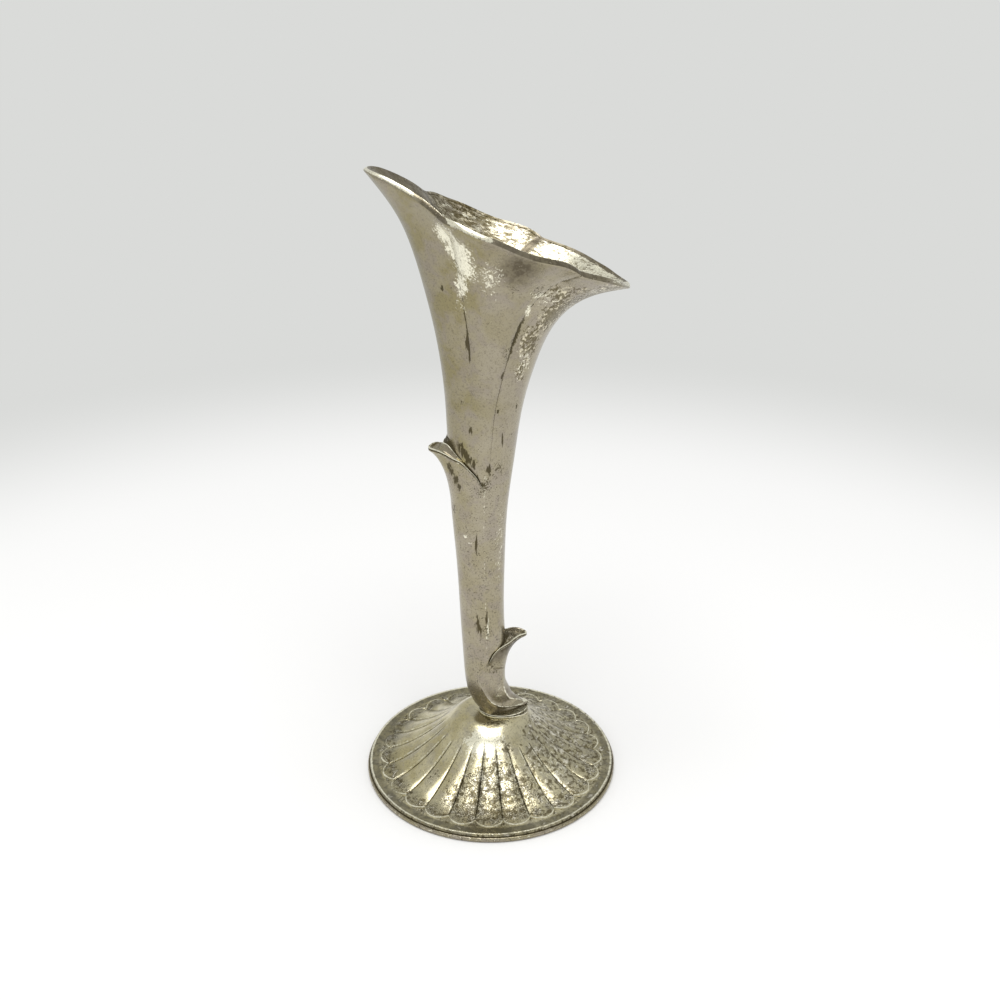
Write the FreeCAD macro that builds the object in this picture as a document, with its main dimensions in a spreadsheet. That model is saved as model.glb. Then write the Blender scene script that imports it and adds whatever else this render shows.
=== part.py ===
import FreeCAD, Part
import math
import os
from collections import namedtuple

import Sketcher

# A plated trumpet bud vase: a lily-shaped tube with two leaves, held by a stud
# to a domed foot with gadroons and an edge wire.
# The foot's centre on the table is the origin. +Z is up and +X points to the mouth's low side.
# Every length is in millimetres, and the XZ plane is the plane of symmetry of the tube.

DRIVING_SIZES = {
    # foot and its edge wire
    "foot_radius": 38.1,
    "rim_wire_height": 1.5,
    "rim_wire_width": 2.6,
    "rim_wire_round": 0.6,
    "flange_setback": 0.7,
    "foot_wall": 0.9,
    "crown_height": 19.0,
    "crown_radius": 9.5,
    "crown_flat_radius": 6.8,
    "crown_blend": 3.0,
    "lobe_cusp_radius": 32.2,
    "lobe_tip_radius": 34.4,
    "lobe_fade_radius": 12.5,
    "lobe_full_radius": 26.0,
    "lobe_rise": 1.1,
    # collar between foot and tube
    "collar_height": 1.0,
    "collar_skirt": 4.0,
    "collar_length": 15.2,
    "collar_width": 12.0,
    "collar_offset": 3.8,
    # tube and mouth
    "vase_height": 178.6,
    "low_tip_height": 147.3,
    "high_tip_reach": 30.3,
    "low_tip_reach": 36.9,
    "mouth_half_width": 21.7,
    "petal_swell": 2.2,
    "notch_dip": 1.2,
    "valley_depth": 0.8,
    "tube_radius": 6.2,
    "tube_half_depth": 6.0,
    "tube_bow": 3.0,
    "arris_rise": 0.25,
    "body_wall": 1.2,
    "heel_reach": 13.0,
    "base_back_reach": 3.6,
    "base_half_width": 4.7,
    "cavity_floor_height": 7.0,
    # leaves
    "leaf_lift": 0.45,
    "leaf_bury": 1.6,
    "upper_leaf_reach": 16.9,
    "upper_leaf_root_height": 88.5,
    "upper_leaf_tip_height": 105.6,
    "lower_leaf_reach": 10.6,
    "lower_leaf_root_height": 31.0,
    "lower_leaf_tip_height": 45.6,
    # fixing under the foot
    "stud_diameter": 4.0,
    "stud_point": 0.5,
    "stud_end_below_nut": 1.6,
    "bore_clearance": 0.1,
    "plug_radius": 2.9,
    "plug_height": 4.0,
    "washer_radius": 4.6,
    "washer_thickness": 0.8,
    "nut_corner_radius": 4.04,
    "nut_height": 3.2,
}

LOBE_COUNT = 25
FIRST_CUSP_ANGLE = -165.4
CROWN_STEEPNESS = 1.6

# Places along the tube, as shares. axis_height runs from the collar to the mouth's centre and tilt
# from level to the mouth's tilt. The bow is the axis's bend to the high side, the flares are
# the growth of each half length and of the half depth towards the mouth's, and the petal
# angles, in turns of a quarter circle, give the front petal's two edges.
Station = namedtuple(
    "Station", "axis_height tilt bow high_flare low_flare depth_flare high_petal low_petal valley"
)
TUBE_STATION_SHARES = (
    Station(0.060, 0.00, 0.33, 0.003, 0.002, 0.00, 0.03, 0.03, 0.00),
    Station(0.110, 0.00, 0.60, 0.000, 0.000, 0.01, 0.03, 0.03, 0.00),
    Station(0.207, 0.00, 0.79, 0.006, 0.005, 0.03, 0.03, 0.03, 0.00),
    Station(0.345, 0.00, 0.93, 0.024, 0.019, 0.05, 0.03, 0.03, 0.00),
    Station(0.470, 0.08, 1.00, 0.065, 0.050, 0.11, 0.03, 0.03, 0.05),
    Station(0.581, 0.32, 0.75, 0.118, 0.087, 0.17, 0.21, 0.06, 0.25),
    Station(0.685, 0.56, 0.43, 0.187, 0.125, 0.25, 0.32, 0.09, 0.45),
    Station(0.775, 0.74, -0.10, 0.335, 0.181, 0.39, 0.34, 0.13, 0.60),
    Station(0.851, 0.86, -0.17, 0.463, 0.301, 0.54, 0.35, 0.20, 0.75),
    Station(0.913, 0.94, -0.13, 0.585, 0.478, 0.71, 0.36, 0.27, 0.90),
    Station(0.962, 0.98, -0.07, 0.754, 0.716, 0.86, 0.34, 0.32, 1.00),
    Station(1.000, 1.00, 0.00, 1.000, 1.000, 1.00, 0.32, 0.34, 1.00),
)
POINTED_FROM_SHARE = 0.80
MOUTH_POINTEDNESS = 0.55
HEEL_POINTEDNESS = 0.45

# The heel, from the collar up, as shares of the heel's height, of the way from the base's reach
# to the tube's on the high side and to the heel's tip on the low side, and of the widening.
HEEL_STATION_SHARES = (
    (0.00, 0.00, 0.88, 0.00),
    (0.12, 0.20, 1.00, 0.15),
    (0.35, 0.55, 0.50, 0.40),
    (0.68, 0.85, 0.16, 0.75),
)

# A leaf's top edge, as shares of its reach beyond the tube's axis and of its height
# above its root, from the throat on the front of the tube to the tip.
UPPER_LEAF_EDGE_SHARES = (
    (-0.06, -0.10), (0.02, 0.22), (0.06, 0.45), (0.15, 0.58), (0.30, 0.73), (0.45, 0.88),
    (0.62, 0.95), (0.80, 0.99), (1.00, 1.00), (1.12, 1.00),
)
LOWER_LEAF_EDGE_SHARES = (
    (-0.12, -0.10), (-0.06, 0.25), (0.00, 0.50), (0.08, 0.67), (0.22, 0.80), (0.39, 0.88),
    (0.57, 0.92), (0.80, 0.96), (1.00, 1.00), (1.12, 1.00),
)
LEAF_LEVEL_SHARES = (0.0, 0.22, 0.44, 0.66, 0.85, 1.06)
LEAF_CURL = 2.4
LEAF_TIP_POINTEDNESS = 0.35
LEAF_INNER_SHARE = 0.5
ARC_POINTS = 9
RADIAL_POINTS = 12
SECTOR_POINTS = 9
LOBE_END_SHARE = 0.80
SEW_TOLERANCE_SHARE = 0.0001

document = FreeCAD.newDocument("trumpet_vase")
sheet = document.addObject("Spreadsheet::Sheet", "sizes")


def fill_sheet():
    """Write each driving size as a named cell."""
    for row, (alias, value) in enumerate(DRIVING_SIZES.items(), start=1):
        sheet.set("A%d" % row, alias)
        sheet.set("B%d" % row, str(value))
        sheet.setAlias("B%d" % row, alias)
    document.recompute()


def size(alias):
    """Read one size from the sheet."""
    return float(sheet.get(alias))


def bind(target, **expressions):
    """Bind properties of an object to sizes in the sheet, double underscores standing for dots."""
    for name, expression in expressions.items():
        target.setExpression(name.replace("__", "."), expression)


def add_shape(name, shape):
    """Keep a shape made by geometry functions as a feature of the document."""
    feature = document.addObject("Part::Feature", name)
    feature.Label = name
    feature.Shape = shape
    feature.Placement = FreeCAD.Placement()
    return feature


def spline(points, closed=False):
    """A smooth edge through points."""
    curve = Part.BSplineCurve()
    curve.interpolate(Points=points, PeriodicFlag=closed)
    return curve.toShape()


def sewn_solid(faces):
    """Close faces that share their edges into one solid with its faces outward."""
    shell = Part.makeShell(faces)
    shell.sewShape(SEW_TOLERANCE_SHARE * size("foot_radius"))
    solid = Part.makeSolid(shell if shell.ShapeType == "Shell" else shell.Shells[0])
    if solid.Volume < 0:
        solid.reverse()
    return solid


# Foot

def flange_top():
    return size("rim_wire_height") + size("foot_wall")


def flange_radius():
    return size("foot_radius") - size("flange_setback")


def dome_top(radius):
    """Height of the dome's outer face in the grooves, at a radius."""
    rise = size("crown_height") - flange_top()
    span = size("lobe_cusp_radius") - size("crown_radius")
    inward = max(size("lobe_cusp_radius") - radius, 0) / span
    slope_rise = rise * inward ** CROWN_STEEPNESS
    blend = size("crown_blend")
    overlap = max(blend - abs(slope_rise - rise), 0) / blend
    return flange_top() + min(slope_rise, rise) - overlap * overlap * blend / 4


def smooth_step(share):
    share = min(max(share, 0), 1)
    return share * share * (3 - 2 * share)


def lobe_point(radial_share, across_share, middle_angle):
    """A point of one lobe's face. across_share runs from -1 to 1 between its two grooves."""
    roundness = 1 - across_share * across_share
    end_radius = (
        size("lobe_cusp_radius") + (size("lobe_tip_radius") - size("lobe_cusp_radius")) * roundness
    )
    start_radius = size("crown_flat_radius")
    radius = start_radius + radial_share * (end_radius - start_radius)
    angle = middle_angle + across_share * math.pi / LOBE_COUNT
    fade = (radius - size("lobe_fade_radius")) / (size("lobe_full_radius") - size("lobe_fade_radius"))
    past_end = max(radial_share - LOBE_END_SHARE, 0) / (1 - LOBE_END_SHARE)
    swell = size("lobe_rise") * smooth_step(fade) * roundness * math.sqrt(1 - past_end * past_end)
    return FreeCAD.Vector(
        radius * math.cos(angle), radius * math.sin(angle), dome_top(radius) + swell
    )


def lobe_face(index):
    """One of the foot's lobes, from the flat crown to the flange."""
    middle_angle = math.radians(FIRST_CUSP_ANGLE) + (2 * index + 1) * math.pi / LOBE_COUNT
    rows = []
    for across in range(SECTOR_POINTS):
        across_share = -1 + 2 * across / (SECTOR_POINTS - 1)
        rows.append([
            lobe_point(radial / (RADIAL_POINTS - 1), across_share, middle_angle)
            for radial in range(RADIAL_POINTS)
        ])
    surface = Part.BSplineSurface()
    surface.interpolate(rows)
    return surface.toShape()


def level_edges(faces, height):
    """The edges of faces that lie level at a height."""
    found = []
    limit = size("foot_wall") / 20
    for face in faces:
        for edge in face.Edges:
            if abs(edge.BoundBox.ZMin - height) < limit and abs(edge.BoundBox.ZMax - height) < limit:
                found.append(edge)
    return found


def make_foot():
    lobes = [lobe_face(index) for index in range(LOBE_COUNT)]
    up = FreeCAD.Vector(0, 0, 1)
    hole_radius = size("stud_diameter") / 2 + size("bore_clearance")
    crown = size("crown_height")
    scallop = Part.Wire(Part.__sortEdges__(level_edges(lobes, flange_top())))
    crown_ring = Part.Wire(Part.__sortEdges__(level_edges(lobes, crown)))
    flange_ring = Part.Wire(Part.makeCircle(flange_radius(), up * flange_top()))
    hole_ring = Part.Wire(Part.makeCircle(hole_radius, up * crown))
    flange_face = Part.makeFace([flange_ring, scallop], "Part::FaceMakerBullseye")
    crown_face = Part.makeFace([crown_ring, hole_ring], "Part::FaceMakerBullseye")

    def profile_point(radius, height):
        return FreeCAD.Vector(radius, 0, height)

    wall = size("foot_wall")
    steps = RADIAL_POINTS - 1
    under = []
    for step in range(RADIAL_POINTS):
        radius = size("crown_flat_radius") + step / steps * (
            size("lobe_cusp_radius") - size("crown_flat_radius")
        )
        under.append(profile_point(radius, dome_top(radius) - wall))
    inner_corner = profile_point(hole_radius, crown - wall)
    outer_corner = profile_point(flange_radius(), size("rim_wire_height"))
    profile = [
        Part.makeLine(profile_point(hole_radius, crown), inner_corner),
        Part.makeLine(inner_corner, under[0]),
        spline(under),
        Part.makeLine(under[-1], outer_corner),
        Part.makeLine(outer_corner, profile_point(flange_radius(), flange_top())),
    ]
    below = [
        edge.revolve(FreeCAD.Vector(), up, 360).Faces[0] for edge in profile
    ]
    return add_shape("foot_dome", sewn_solid(lobes + [flange_face, crown_face] + below))


def make_rim_wire():
    """The edge wire that the foot stands on, turned from a sketch of its section."""
    body = document.addObject("PartDesign::Body", "rim_wire")
    body.Label = "rim_wire"
    sketch = body.newObject("Sketcher::SketchObject", "rim_wire_section")
    plane = next(item for item in body.Origin.OriginFeatures if item.Role == "XZ_Plane")
    sketch.AttachmentSupport = [(plane, "")]
    sketch.MapMode = "FlatFace"
    outer = size("foot_radius")
    inner = outer - size("rim_wire_width")
    top = size("rim_wire_height")
    corners = [(inner, 0), (outer, 0), (outer, top), (inner, top)]
    for index, corner in enumerate(corners):
        start = FreeCAD.Vector(corner[0], corner[1], 0)
        following = corners[(index + 1) % len(corners)]
        sketch.addGeometry(Part.LineSegment(start, FreeCAD.Vector(following[0], following[1], 0)))
    for index in range(len(corners)):
        sketch.addConstraint(Sketcher.Constraint("Coincident", index, 2, (index + 1) % 4, 1))
    sketch.addConstraint(Sketcher.Constraint("Horizontal", 0))
    sketch.addConstraint(Sketcher.Constraint("Vertical", 1))
    sketch.addConstraint(Sketcher.Constraint("Horizontal", 2))
    sketch.addConstraint(Sketcher.Constraint("Vertical", 3))
    sketch.addConstraint(Sketcher.Constraint("DistanceY", -1, 1, 0, 1, 0))
    reach = sketch.addConstraint(Sketcher.Constraint("DistanceX", -1, 1, 1, 1, outer))
    height = sketch.addConstraint(Sketcher.Constraint("DistanceY", 1, 1, 1, 2, top))
    width = sketch.addConstraint(Sketcher.Constraint("DistanceX", 0, 1, 0, 2, outer - inner))
    sketch.setExpression("Constraints[%d]" % reach, "sizes.foot_radius")
    sketch.setExpression("Constraints[%d]" % height, "sizes.rim_wire_height")
    sketch.setExpression("Constraints[%d]" % width, "sizes.rim_wire_width")
    turned = body.newObject("PartDesign::Revolution", "rim_wire_turned")
    turned.Profile = sketch
    turned.ReferenceAxis = (sketch, ["V_Axis"])
    turned.Angle = 360
    document.recompute()
    rounded = body.newObject("PartDesign::Fillet", "rim_wire_rounded")
    edges = [
        "Edge%d" % (index + 1) for index, edge in enumerate(turned.Shape.Edges)
        if isinstance(edge.Curve, Part.Circle) and abs(edge.Curve.Radius - outer) < top / 20
    ]
    rounded.Base = (turned, edges)
    bind(rounded, Radius="sizes.rim_wire_round")
    body.Tip = rounded
    return body


# Tube

def collar_top():
    return size("crown_height") + size("collar_height")


def mouth_slope():
    rise = size("vase_height") - size("low_tip_height")
    return math.atan2(rise, size("high_tip_reach") + size("low_tip_reach"))


def mouth_height():
    """Height of the mouth's plane above the foot's centre."""
    return size("vase_height") - size("high_tip_reach") * math.tan(mouth_slope())


def grown(start, end, share):
    return start + (end - start) * share


class Section:
    """One closed outline of the tube: two petals or halves at the sides, one in front, one behind."""

    def __init__(self, centre, tilt, high_half, low_half, half_depth, petal_angles, valley,
                 pointedness, swell=0.0, dip=0.0):
        self.centre = centre
        self.tilt = tilt
        self.high_half = high_half
        self.low_half = low_half
        self.half_depth = half_depth
        self.petal_angles = petal_angles
        self.valley = valley
        self.pointedness = pointedness
        self.swell = swell
        self.dip = dip

    def inset(self, wall):
        """The same outline, drawn in by a wall."""
        return Section(
            self.centre, self.tilt, self.high_half - wall, self.low_half - wall,
            self.half_depth - wall, self.petal_angles, self.valley, self.pointedness,
            self.swell, self.dip,
        )

    def place(self, along, across, above):
        """Put a point of the outline's own plane into the vase's frame."""
        cosine, sine = math.cos(self.tilt), math.sin(self.tilt)
        return FreeCAD.Vector(
            self.centre.x + along * cosine + above * sine,
            across,
            self.centre.z - along * sine + above * cosine,
        )

    def side_arc(self, sign):
        """The petal on the low side (sign 1) or the high side (sign -1)."""
        half = self.low_half if sign > 0 else self.high_half
        petal_angle = self.petal_angles[1] if sign > 0 else self.petal_angles[0]
        reach_angle = math.pi / 2 - petal_angle
        points = []
        for step in range(ARC_POINTS):
            share = -1 + 2 * step / (ARC_POINTS - 1)
            angle = share * reach_angle
            narrowing = 1 - self.pointedness * math.cos(share * math.pi / 2) ** 2
            inward = self.valley * share ** 4
            along = (half - inward) * math.cos(angle)
            across = (self.half_depth - inward) * math.sin(angle) * narrowing
            points.append(self.place(sign * along, sign * across, -self.dip * share ** 6))
        return spline(points)

    def middle_arc(self, sign):
        """The petal behind (sign 1) or in front (sign -1)."""
        points = []
        for step in range(ARC_POINTS):
            share = -1 + 2 * step / (ARC_POINTS - 1)
            side = -sign * share
            half = self.low_half if side > 0 else self.high_half
            petal_angle = self.petal_angles[1] if side > 0 else self.petal_angles[0]
            angle = side * petal_angle
            inward = self.valley * share ** 4
            along = (half - inward) * math.sin(angle)
            across = (self.half_depth - inward) * math.cos(angle) + self.swell * (1 - share * share)
            points.append(self.place(along, sign * across, -self.dip * share ** 6))
        return spline(points)

    def wire(self):
        return Part.Wire([
            self.side_arc(1), self.middle_arc(1), self.side_arc(-1), self.middle_arc(-1)
        ])


def tube_sections():
    """The tube's outlines, from the collar to the mouth."""
    slope = mouth_slope()
    high_mouth = size("high_tip_reach") / math.cos(slope)
    low_mouth = size("low_tip_reach") / math.cos(slope)
    above_collar = []
    for share in TUBE_STATION_SHARES:
        centre = FreeCAD.Vector(
            -share.bow * size("tube_bow"), 0, grown(collar_top(), mouth_height(), share.axis_height)
        )
        pointed = max(share.axis_height - POINTED_FROM_SHARE, 0) / (1 - POINTED_FROM_SHARE)
        above_collar.append(Section(
            centre,
            share.tilt * slope,
            grown(size("tube_radius"), high_mouth, share.high_flare),
            grown(size("tube_radius"), low_mouth, share.low_flare),
            grown(size("tube_half_depth"), size("mouth_half_width"), share.depth_flare),
            (share.high_petal * math.pi / 2, share.low_petal * math.pi / 2),
            share.valley * size("valley_depth"),
            MOUTH_POINTEDNESS * pointed,
            grown(size("arris_rise"), size("petal_swell"), share.valley * share.axis_height ** 2),
            size("notch_dip") if share.axis_height == 1 else 0.0,
        ))
    first = above_collar[0]
    heel = []
    for height, high, low, width in HEEL_STATION_SHARES:
        left = grown(-size("base_back_reach"), first.centre.x - first.high_half, high)
        right = grown(first.centre.x + first.low_half, size("heel_reach"), low)
        middle = first.centre.x
        heel.append(Section(
            FreeCAD.Vector(middle, 0, collar_top() + height * (first.centre.z - collar_top())),
            0.0,
            middle - left,
            right - middle,
            grown(size("base_half_width"), first.half_depth, width),
            first.petal_angles,
            0.0,
            HEEL_POINTEDNESS * low,
            size("arris_rise"),
        ))
    return heel + above_collar


def side_faces(sections):
    return Part.makeLoft([section.wire() for section in sections], False, False).Faces


def boundary(faces, at_top):
    """The lowest or the highest open edge of each face of a lofted wall."""
    edges = []
    for face in faces:
        ordered = sorted(face.Edges, key=lambda edge: edge.CenterOfMass.z)
        edges.append(ordered[-1] if at_top else ordered[0])
    return edges


def make_trumpet_body():
    outer = tube_sections()
    wall = size("body_wall")
    floor = collar_top() + size("cavity_floor_height")
    above_floor = [section for section in outer if section.centre.z > floor + wall]
    lowest = above_floor[0]
    bottom = Section(
        FreeCAD.Vector(lowest.centre.x, 0, floor), 0.0, lowest.high_half, lowest.low_half,
        lowest.half_depth, lowest.petal_angles, 0.0, 0.0, size("arris_rise"),
    )
    inner = [section.inset(wall) for section in [bottom] + above_floor]
    outer_faces = side_faces(outer)
    inner_faces = side_faces(inner)
    rim_faces = []
    for outer_edge, inner_edge in zip(boundary(outer_faces, True), boundary(inner_faces, True)):
        rim_faces.append(Part.makeRuledSurface(outer_edge, inner_edge))
    up = FreeCAD.Vector(0, 0, 1)
    bore = size("stud_diameter") / 2 + size("bore_clearance")
    base_ring = Part.Wire(Part.makeCircle(bore, up * collar_top()))
    floor_ring = Part.Wire(Part.makeCircle(bore, up * floor))
    base_wire = Part.Wire(Part.__sortEdges__(boundary(outer_faces, False)))
    floor_wire = Part.Wire(Part.__sortEdges__(boundary(inner_faces, False)))
    base_face = Part.makeFace([base_wire, base_ring], "Part::FaceMakerBullseye")
    floor_face = Part.makeFace([floor_wire, floor_ring], "Part::FaceMakerBullseye")
    bore_face = base_ring.Edges[0].extrude(up * (floor - collar_top()))
    faces = outer_faces + inner_faces + rim_faces + [base_face, floor_face, bore_face]
    return add_shape("trumpet_body", sewn_solid(faces))


# Leaves

def tube_at(height):
    """The tube's axis place, half lengths and half depth at a height, between its outlines."""
    sections = tube_sections()
    for lower, upper in zip(sections, sections[1:]):
        if lower.centre.z <= height <= upper.centre.z:
            share = (height - lower.centre.z) / (upper.centre.z - lower.centre.z)
            return (
                grown(lower.centre.x, upper.centre.x, share),
                grown(lower.high_half, upper.high_half, share),
                grown(lower.low_half, upper.low_half, share),
                grown(lower.half_depth, upper.half_depth, share),
            )
    raise ValueError("no outline of the tube at height %s" % height)


def leaf_outline(level, side, root, tip, reach):
    """A level outline of a leaf: the tube's own at the root, drawn out to a tongue at the tip."""
    height = grown(root, tip, level)
    axis, high_half, low_half, half_depth = tube_at(height)
    tube_half = low_half if side > 0 else high_half
    lift = grown(-size("leaf_lift") / 2, size("leaf_lift"), smooth_step(level / LEAF_LEVEL_SHARES[1]))
    drawn_out = (reach - side * axis - tube_half - lift) * level ** LEAF_CURL
    outward = tube_half + lift + drawn_out
    depth = half_depth + lift
    pointedness = LEAF_TIP_POINTEDNESS * level
    inward = tube_half * LEAF_INNER_SHARE
    points = []
    steps = 4 * (ARC_POINTS - 1)
    for step in range(steps):
        angle = math.pi + 2 * math.pi * step / steps
        half = outward if math.cos(angle) > 0 else inward
        narrowing = 1 - pointedness * max(math.cos(angle), 0) ** 2
        points.append(FreeCAD.Vector(
            axis + side * half * math.cos(angle), depth * math.sin(angle) * narrowing, height
        ))
    return Part.Wire(spline(points, closed=True))


def make_leaf(name, side, root, tip, reach, edge_shares, body):
    """A leaf on the tube: a drawn-out sheath, cut along its top edge and fitted to the tube."""
    horn = Part.makeLoft(
        [leaf_outline(level, side, root, tip, reach) for level in LEAF_LEVEL_SHARES], True, False
    )
    axis = tube_at(root)[0]
    beyond = reach - side * axis
    half_span = size("foot_radius")
    edge_points = [
        FreeCAD.Vector(axis + side * out * beyond, -half_span, grown(root, tip, up))
        for out, up in edge_shares
    ]
    first, last = edge_points[0], edge_points[-1]
    lowest = root - size("leaf_bury")
    corners = [
        last,
        FreeCAD.Vector(last.x, -half_span, lowest),
        FreeCAD.Vector(first.x, -half_span, lowest),
        first,
    ]
    outline = Part.Wire([spline(edge_points), Part.makePolygon(corners)])
    below_edge = Part.Face(outline).extrude(FreeCAD.Vector(0, 2 * half_span, 0))
    pieces = horn.common(below_edge).cut(body.Shape).Solids
    leaf = max(pieces, key=lambda piece: side * piece.CenterOfMass.x)
    return add_shape(name, leaf)


# Collar and fixing

def filled_dome(reach):
    """The middle of the dome, filled down to the table, out to a radius where no lobe has risen."""
    up = FreeCAD.Vector(0, 0, 1)
    crown = size("crown_height")
    start = size("crown_flat_radius")
    steps = RADIAL_POINTS - 1
    slope = []
    for step in range(RADIAL_POINTS):
        radius = grown(start, reach, step / steps)
        slope.append(FreeCAD.Vector(radius, 0, dome_top(radius)))
    outline = Part.Wire([
        Part.makeLine(FreeCAD.Vector(), FreeCAD.Vector(0, 0, crown)),
        Part.makeLine(FreeCAD.Vector(0, 0, crown), slope[0]),
        spline(slope),
        Part.makeLine(slope[-1], FreeCAD.Vector(reach, 0, 0)),
        Part.makeLine(FreeCAD.Vector(reach, 0, 0), FreeCAD.Vector()),
    ])
    return Part.Face(outline).revolve(FreeCAD.Vector(), up, 360)


def make_collar():
    """An oval plate on the crown, fitted down to the dome all round."""
    oval = document.addObject("Part::Ellipse", "collar_oval")
    bind(
        oval,
        MajorRadius="sizes.collar_length / 2",
        MinorRadius="sizes.collar_width / 2",
        Placement__Base__x="sizes.collar_offset",
        Placement__Base__z="sizes.crown_height + sizes.collar_height - sizes.collar_skirt",
    )
    plate = document.addObject("Part::Extrusion", "collar_plate")
    plate.Base = oval
    plate.DirMode = "Custom"
    plate.Dir = FreeCAD.Vector(0, 0, 1)
    plate.Solid = True
    bind(plate, LengthFwd="sizes.collar_skirt")
    bore = document.addObject("Part::Cylinder", "collar_bore")
    bind(
        bore,
        Radius="sizes.stud_diameter / 2 + sizes.bore_clearance",
        Height="sizes.crown_height + sizes.collar_height",
    )
    pierced = document.addObject("Part::Cut", "collar_pierced")
    pierced.Base = plate
    pierced.Tool = bore
    dome = document.addObject("Part::Feature", "collar_seat")
    dome.Shape = filled_dome(size("collar_offset") + size("collar_length"))
    dome.Placement = FreeCAD.Placement()
    collar = document.addObject("Part::Cut", "stem_collar")
    collar.Label = "stem_collar"
    collar.Base = pierced
    collar.Tool = dome
    return collar


def make_ring(name, outer, height, base):
    """A ring round the stud, between sizes given as expressions."""
    disc = document.addObject("Part::Cylinder", name + "_disc")
    bind(disc, Radius=outer, Height=height)
    bore = document.addObject("Part::Cylinder", name + "_bore")
    bind(bore, Radius="sizes.stud_diameter / 2 + sizes.bore_clearance / 2", Height=height)
    ring = document.addObject("Part::Cut", name)
    ring.Label = name
    ring.Base = disc
    ring.Tool = bore
    bind(ring, Placement__Base__z=base)
    return ring


def make_nut(base):
    hexagon = document.addObject("Part::Prism", "nut_hexagon")
    hexagon.Polygon = 6
    bind(hexagon, Circumradius="sizes.nut_corner_radius", Height="sizes.nut_height")
    bore = document.addObject("Part::Cylinder", "nut_bore")
    bind(
        bore,
        Radius="sizes.stud_diameter / 2 + sizes.bore_clearance / 2",
        Height="sizes.nut_height",
    )
    nut = document.addObject("Part::Cut", "fixing_nut")
    nut.Label = "fixing_nut"
    nut.Base = hexagon
    nut.Tool = bore
    bind(nut, Placement__Base__z=base)
    return nut


def make_stud(base, top):
    """The stud, with a bevelled point at each end."""
    shank = document.addObject("Part::Cylinder", "stud_shank")
    bind(
        shank,
        Radius="sizes.stud_diameter / 2",
        Height="(%s) - (%s) - 2 * sizes.stud_point" % (top, base),
        Placement__Base__z="%s + sizes.stud_point" % base,
    )
    lower = document.addObject("Part::Cone", "stud_lower_point")
    bind(
        lower,
        Radius1="sizes.stud_diameter / 2 - sizes.stud_point",
        Radius2="sizes.stud_diameter / 2",
        Height="sizes.stud_point",
        Placement__Base__z=base,
    )
    upper = document.addObject("Part::Cone", "stud_upper_point")
    bind(
        upper,
        Radius1="sizes.stud_diameter / 2",
        Radius2="sizes.stud_diameter / 2 - sizes.stud_point",
        Height="sizes.stud_point",
        Placement__Base__z="%s - sizes.stud_point" % top,
    )
    stud = document.addObject("Part::MultiFuse", "fixing_stud")
    stud.Label = "fixing_stud"
    stud.Shapes = [shank, lower, upper]
    return stud


def make_parts():
    """Every piece of the vase, from the table up."""
    foot = make_foot()
    body = make_trumpet_body()
    crown_under = "sizes.crown_height - sizes.foot_wall"
    washer_base = crown_under + " - sizes.washer_thickness"
    nut_base = washer_base + " - sizes.nut_height"
    plug_base = "sizes.crown_height + sizes.collar_height + sizes.cavity_floor_height"
    return [
        make_rim_wire(),
        foot,
        make_collar(),
        body,
        make_leaf(
            "upper_leaf", -1, size("upper_leaf_root_height"), size("upper_leaf_tip_height"),
            size("upper_leaf_reach"), UPPER_LEAF_EDGE_SHARES, body,
        ),
        make_leaf(
            "lower_leaf", 1, size("lower_leaf_root_height"), size("lower_leaf_tip_height"),
            size("lower_leaf_reach"), LOWER_LEAF_EDGE_SHARES, body,
        ),
        make_ring("stem_plug", "sizes.plug_radius", "sizes.plug_height", plug_base),
        make_stud(nut_base + " - sizes.stud_end_below_nut", plug_base + " + sizes.plug_height"),
        make_ring("fixing_washer", "sizes.washer_radius", "sizes.washer_thickness", washer_base),
        make_nut(nut_base),
    ]


def check_and_export(parts):
    """Stop on any failed object or bad shape, then write one file for each piece."""
    document.recompute()
    for item in document.Objects:
        if "Invalid" in item.State or "Error" in item.State:
            raise RuntimeError("%s failed: %s" % (item.Label, item.State))
    for part in parts:
        if part.Shape.isNull() or not part.Shape.isValid() or not part.Shape.Solids:
            raise RuntimeError("%s has a bad shape" % part.Label)
        print("%-16s %d solid, %9.1f mm3" % (part.Label, len(part.Shape.Solids), part.Shape.Volume))
    os.makedirs("parts", exist_ok=True)
    for part in parts:
        part.Shape.exportStep("parts/%s.step" % part.Label)


fill_sheet()
check_and_export(make_parts())
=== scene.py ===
"""A plated trumpet bud vase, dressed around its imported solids.

The vase is a lily: a bent tube that opens into four petals, two leaves on the tube, and a domed
foot with gadroons that stands on an edge wire. Every size below is in millimetres unless its name
says otherwise, in the frame of the solids: +Z is up and +X points to the mouth's low side.
"""

import logging
import math
from dataclasses import dataclass
from enum import Enum
from typing import Any, NamedTuple, Optional, Sequence

import bpy
import numpy as np
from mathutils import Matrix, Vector


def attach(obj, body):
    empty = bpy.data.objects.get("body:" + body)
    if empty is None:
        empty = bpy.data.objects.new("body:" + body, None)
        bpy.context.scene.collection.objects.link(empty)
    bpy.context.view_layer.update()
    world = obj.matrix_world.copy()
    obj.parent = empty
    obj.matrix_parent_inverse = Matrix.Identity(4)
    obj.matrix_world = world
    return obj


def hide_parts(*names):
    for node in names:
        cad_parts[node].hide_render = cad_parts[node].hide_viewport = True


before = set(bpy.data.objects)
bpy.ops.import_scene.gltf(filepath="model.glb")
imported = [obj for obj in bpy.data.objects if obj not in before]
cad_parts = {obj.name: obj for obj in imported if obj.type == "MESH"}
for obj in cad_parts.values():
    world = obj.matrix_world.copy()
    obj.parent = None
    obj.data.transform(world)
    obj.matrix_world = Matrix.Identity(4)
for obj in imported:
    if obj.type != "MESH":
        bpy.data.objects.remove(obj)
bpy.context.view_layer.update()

log = logging.getLogger("trumpet_vase")

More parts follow.
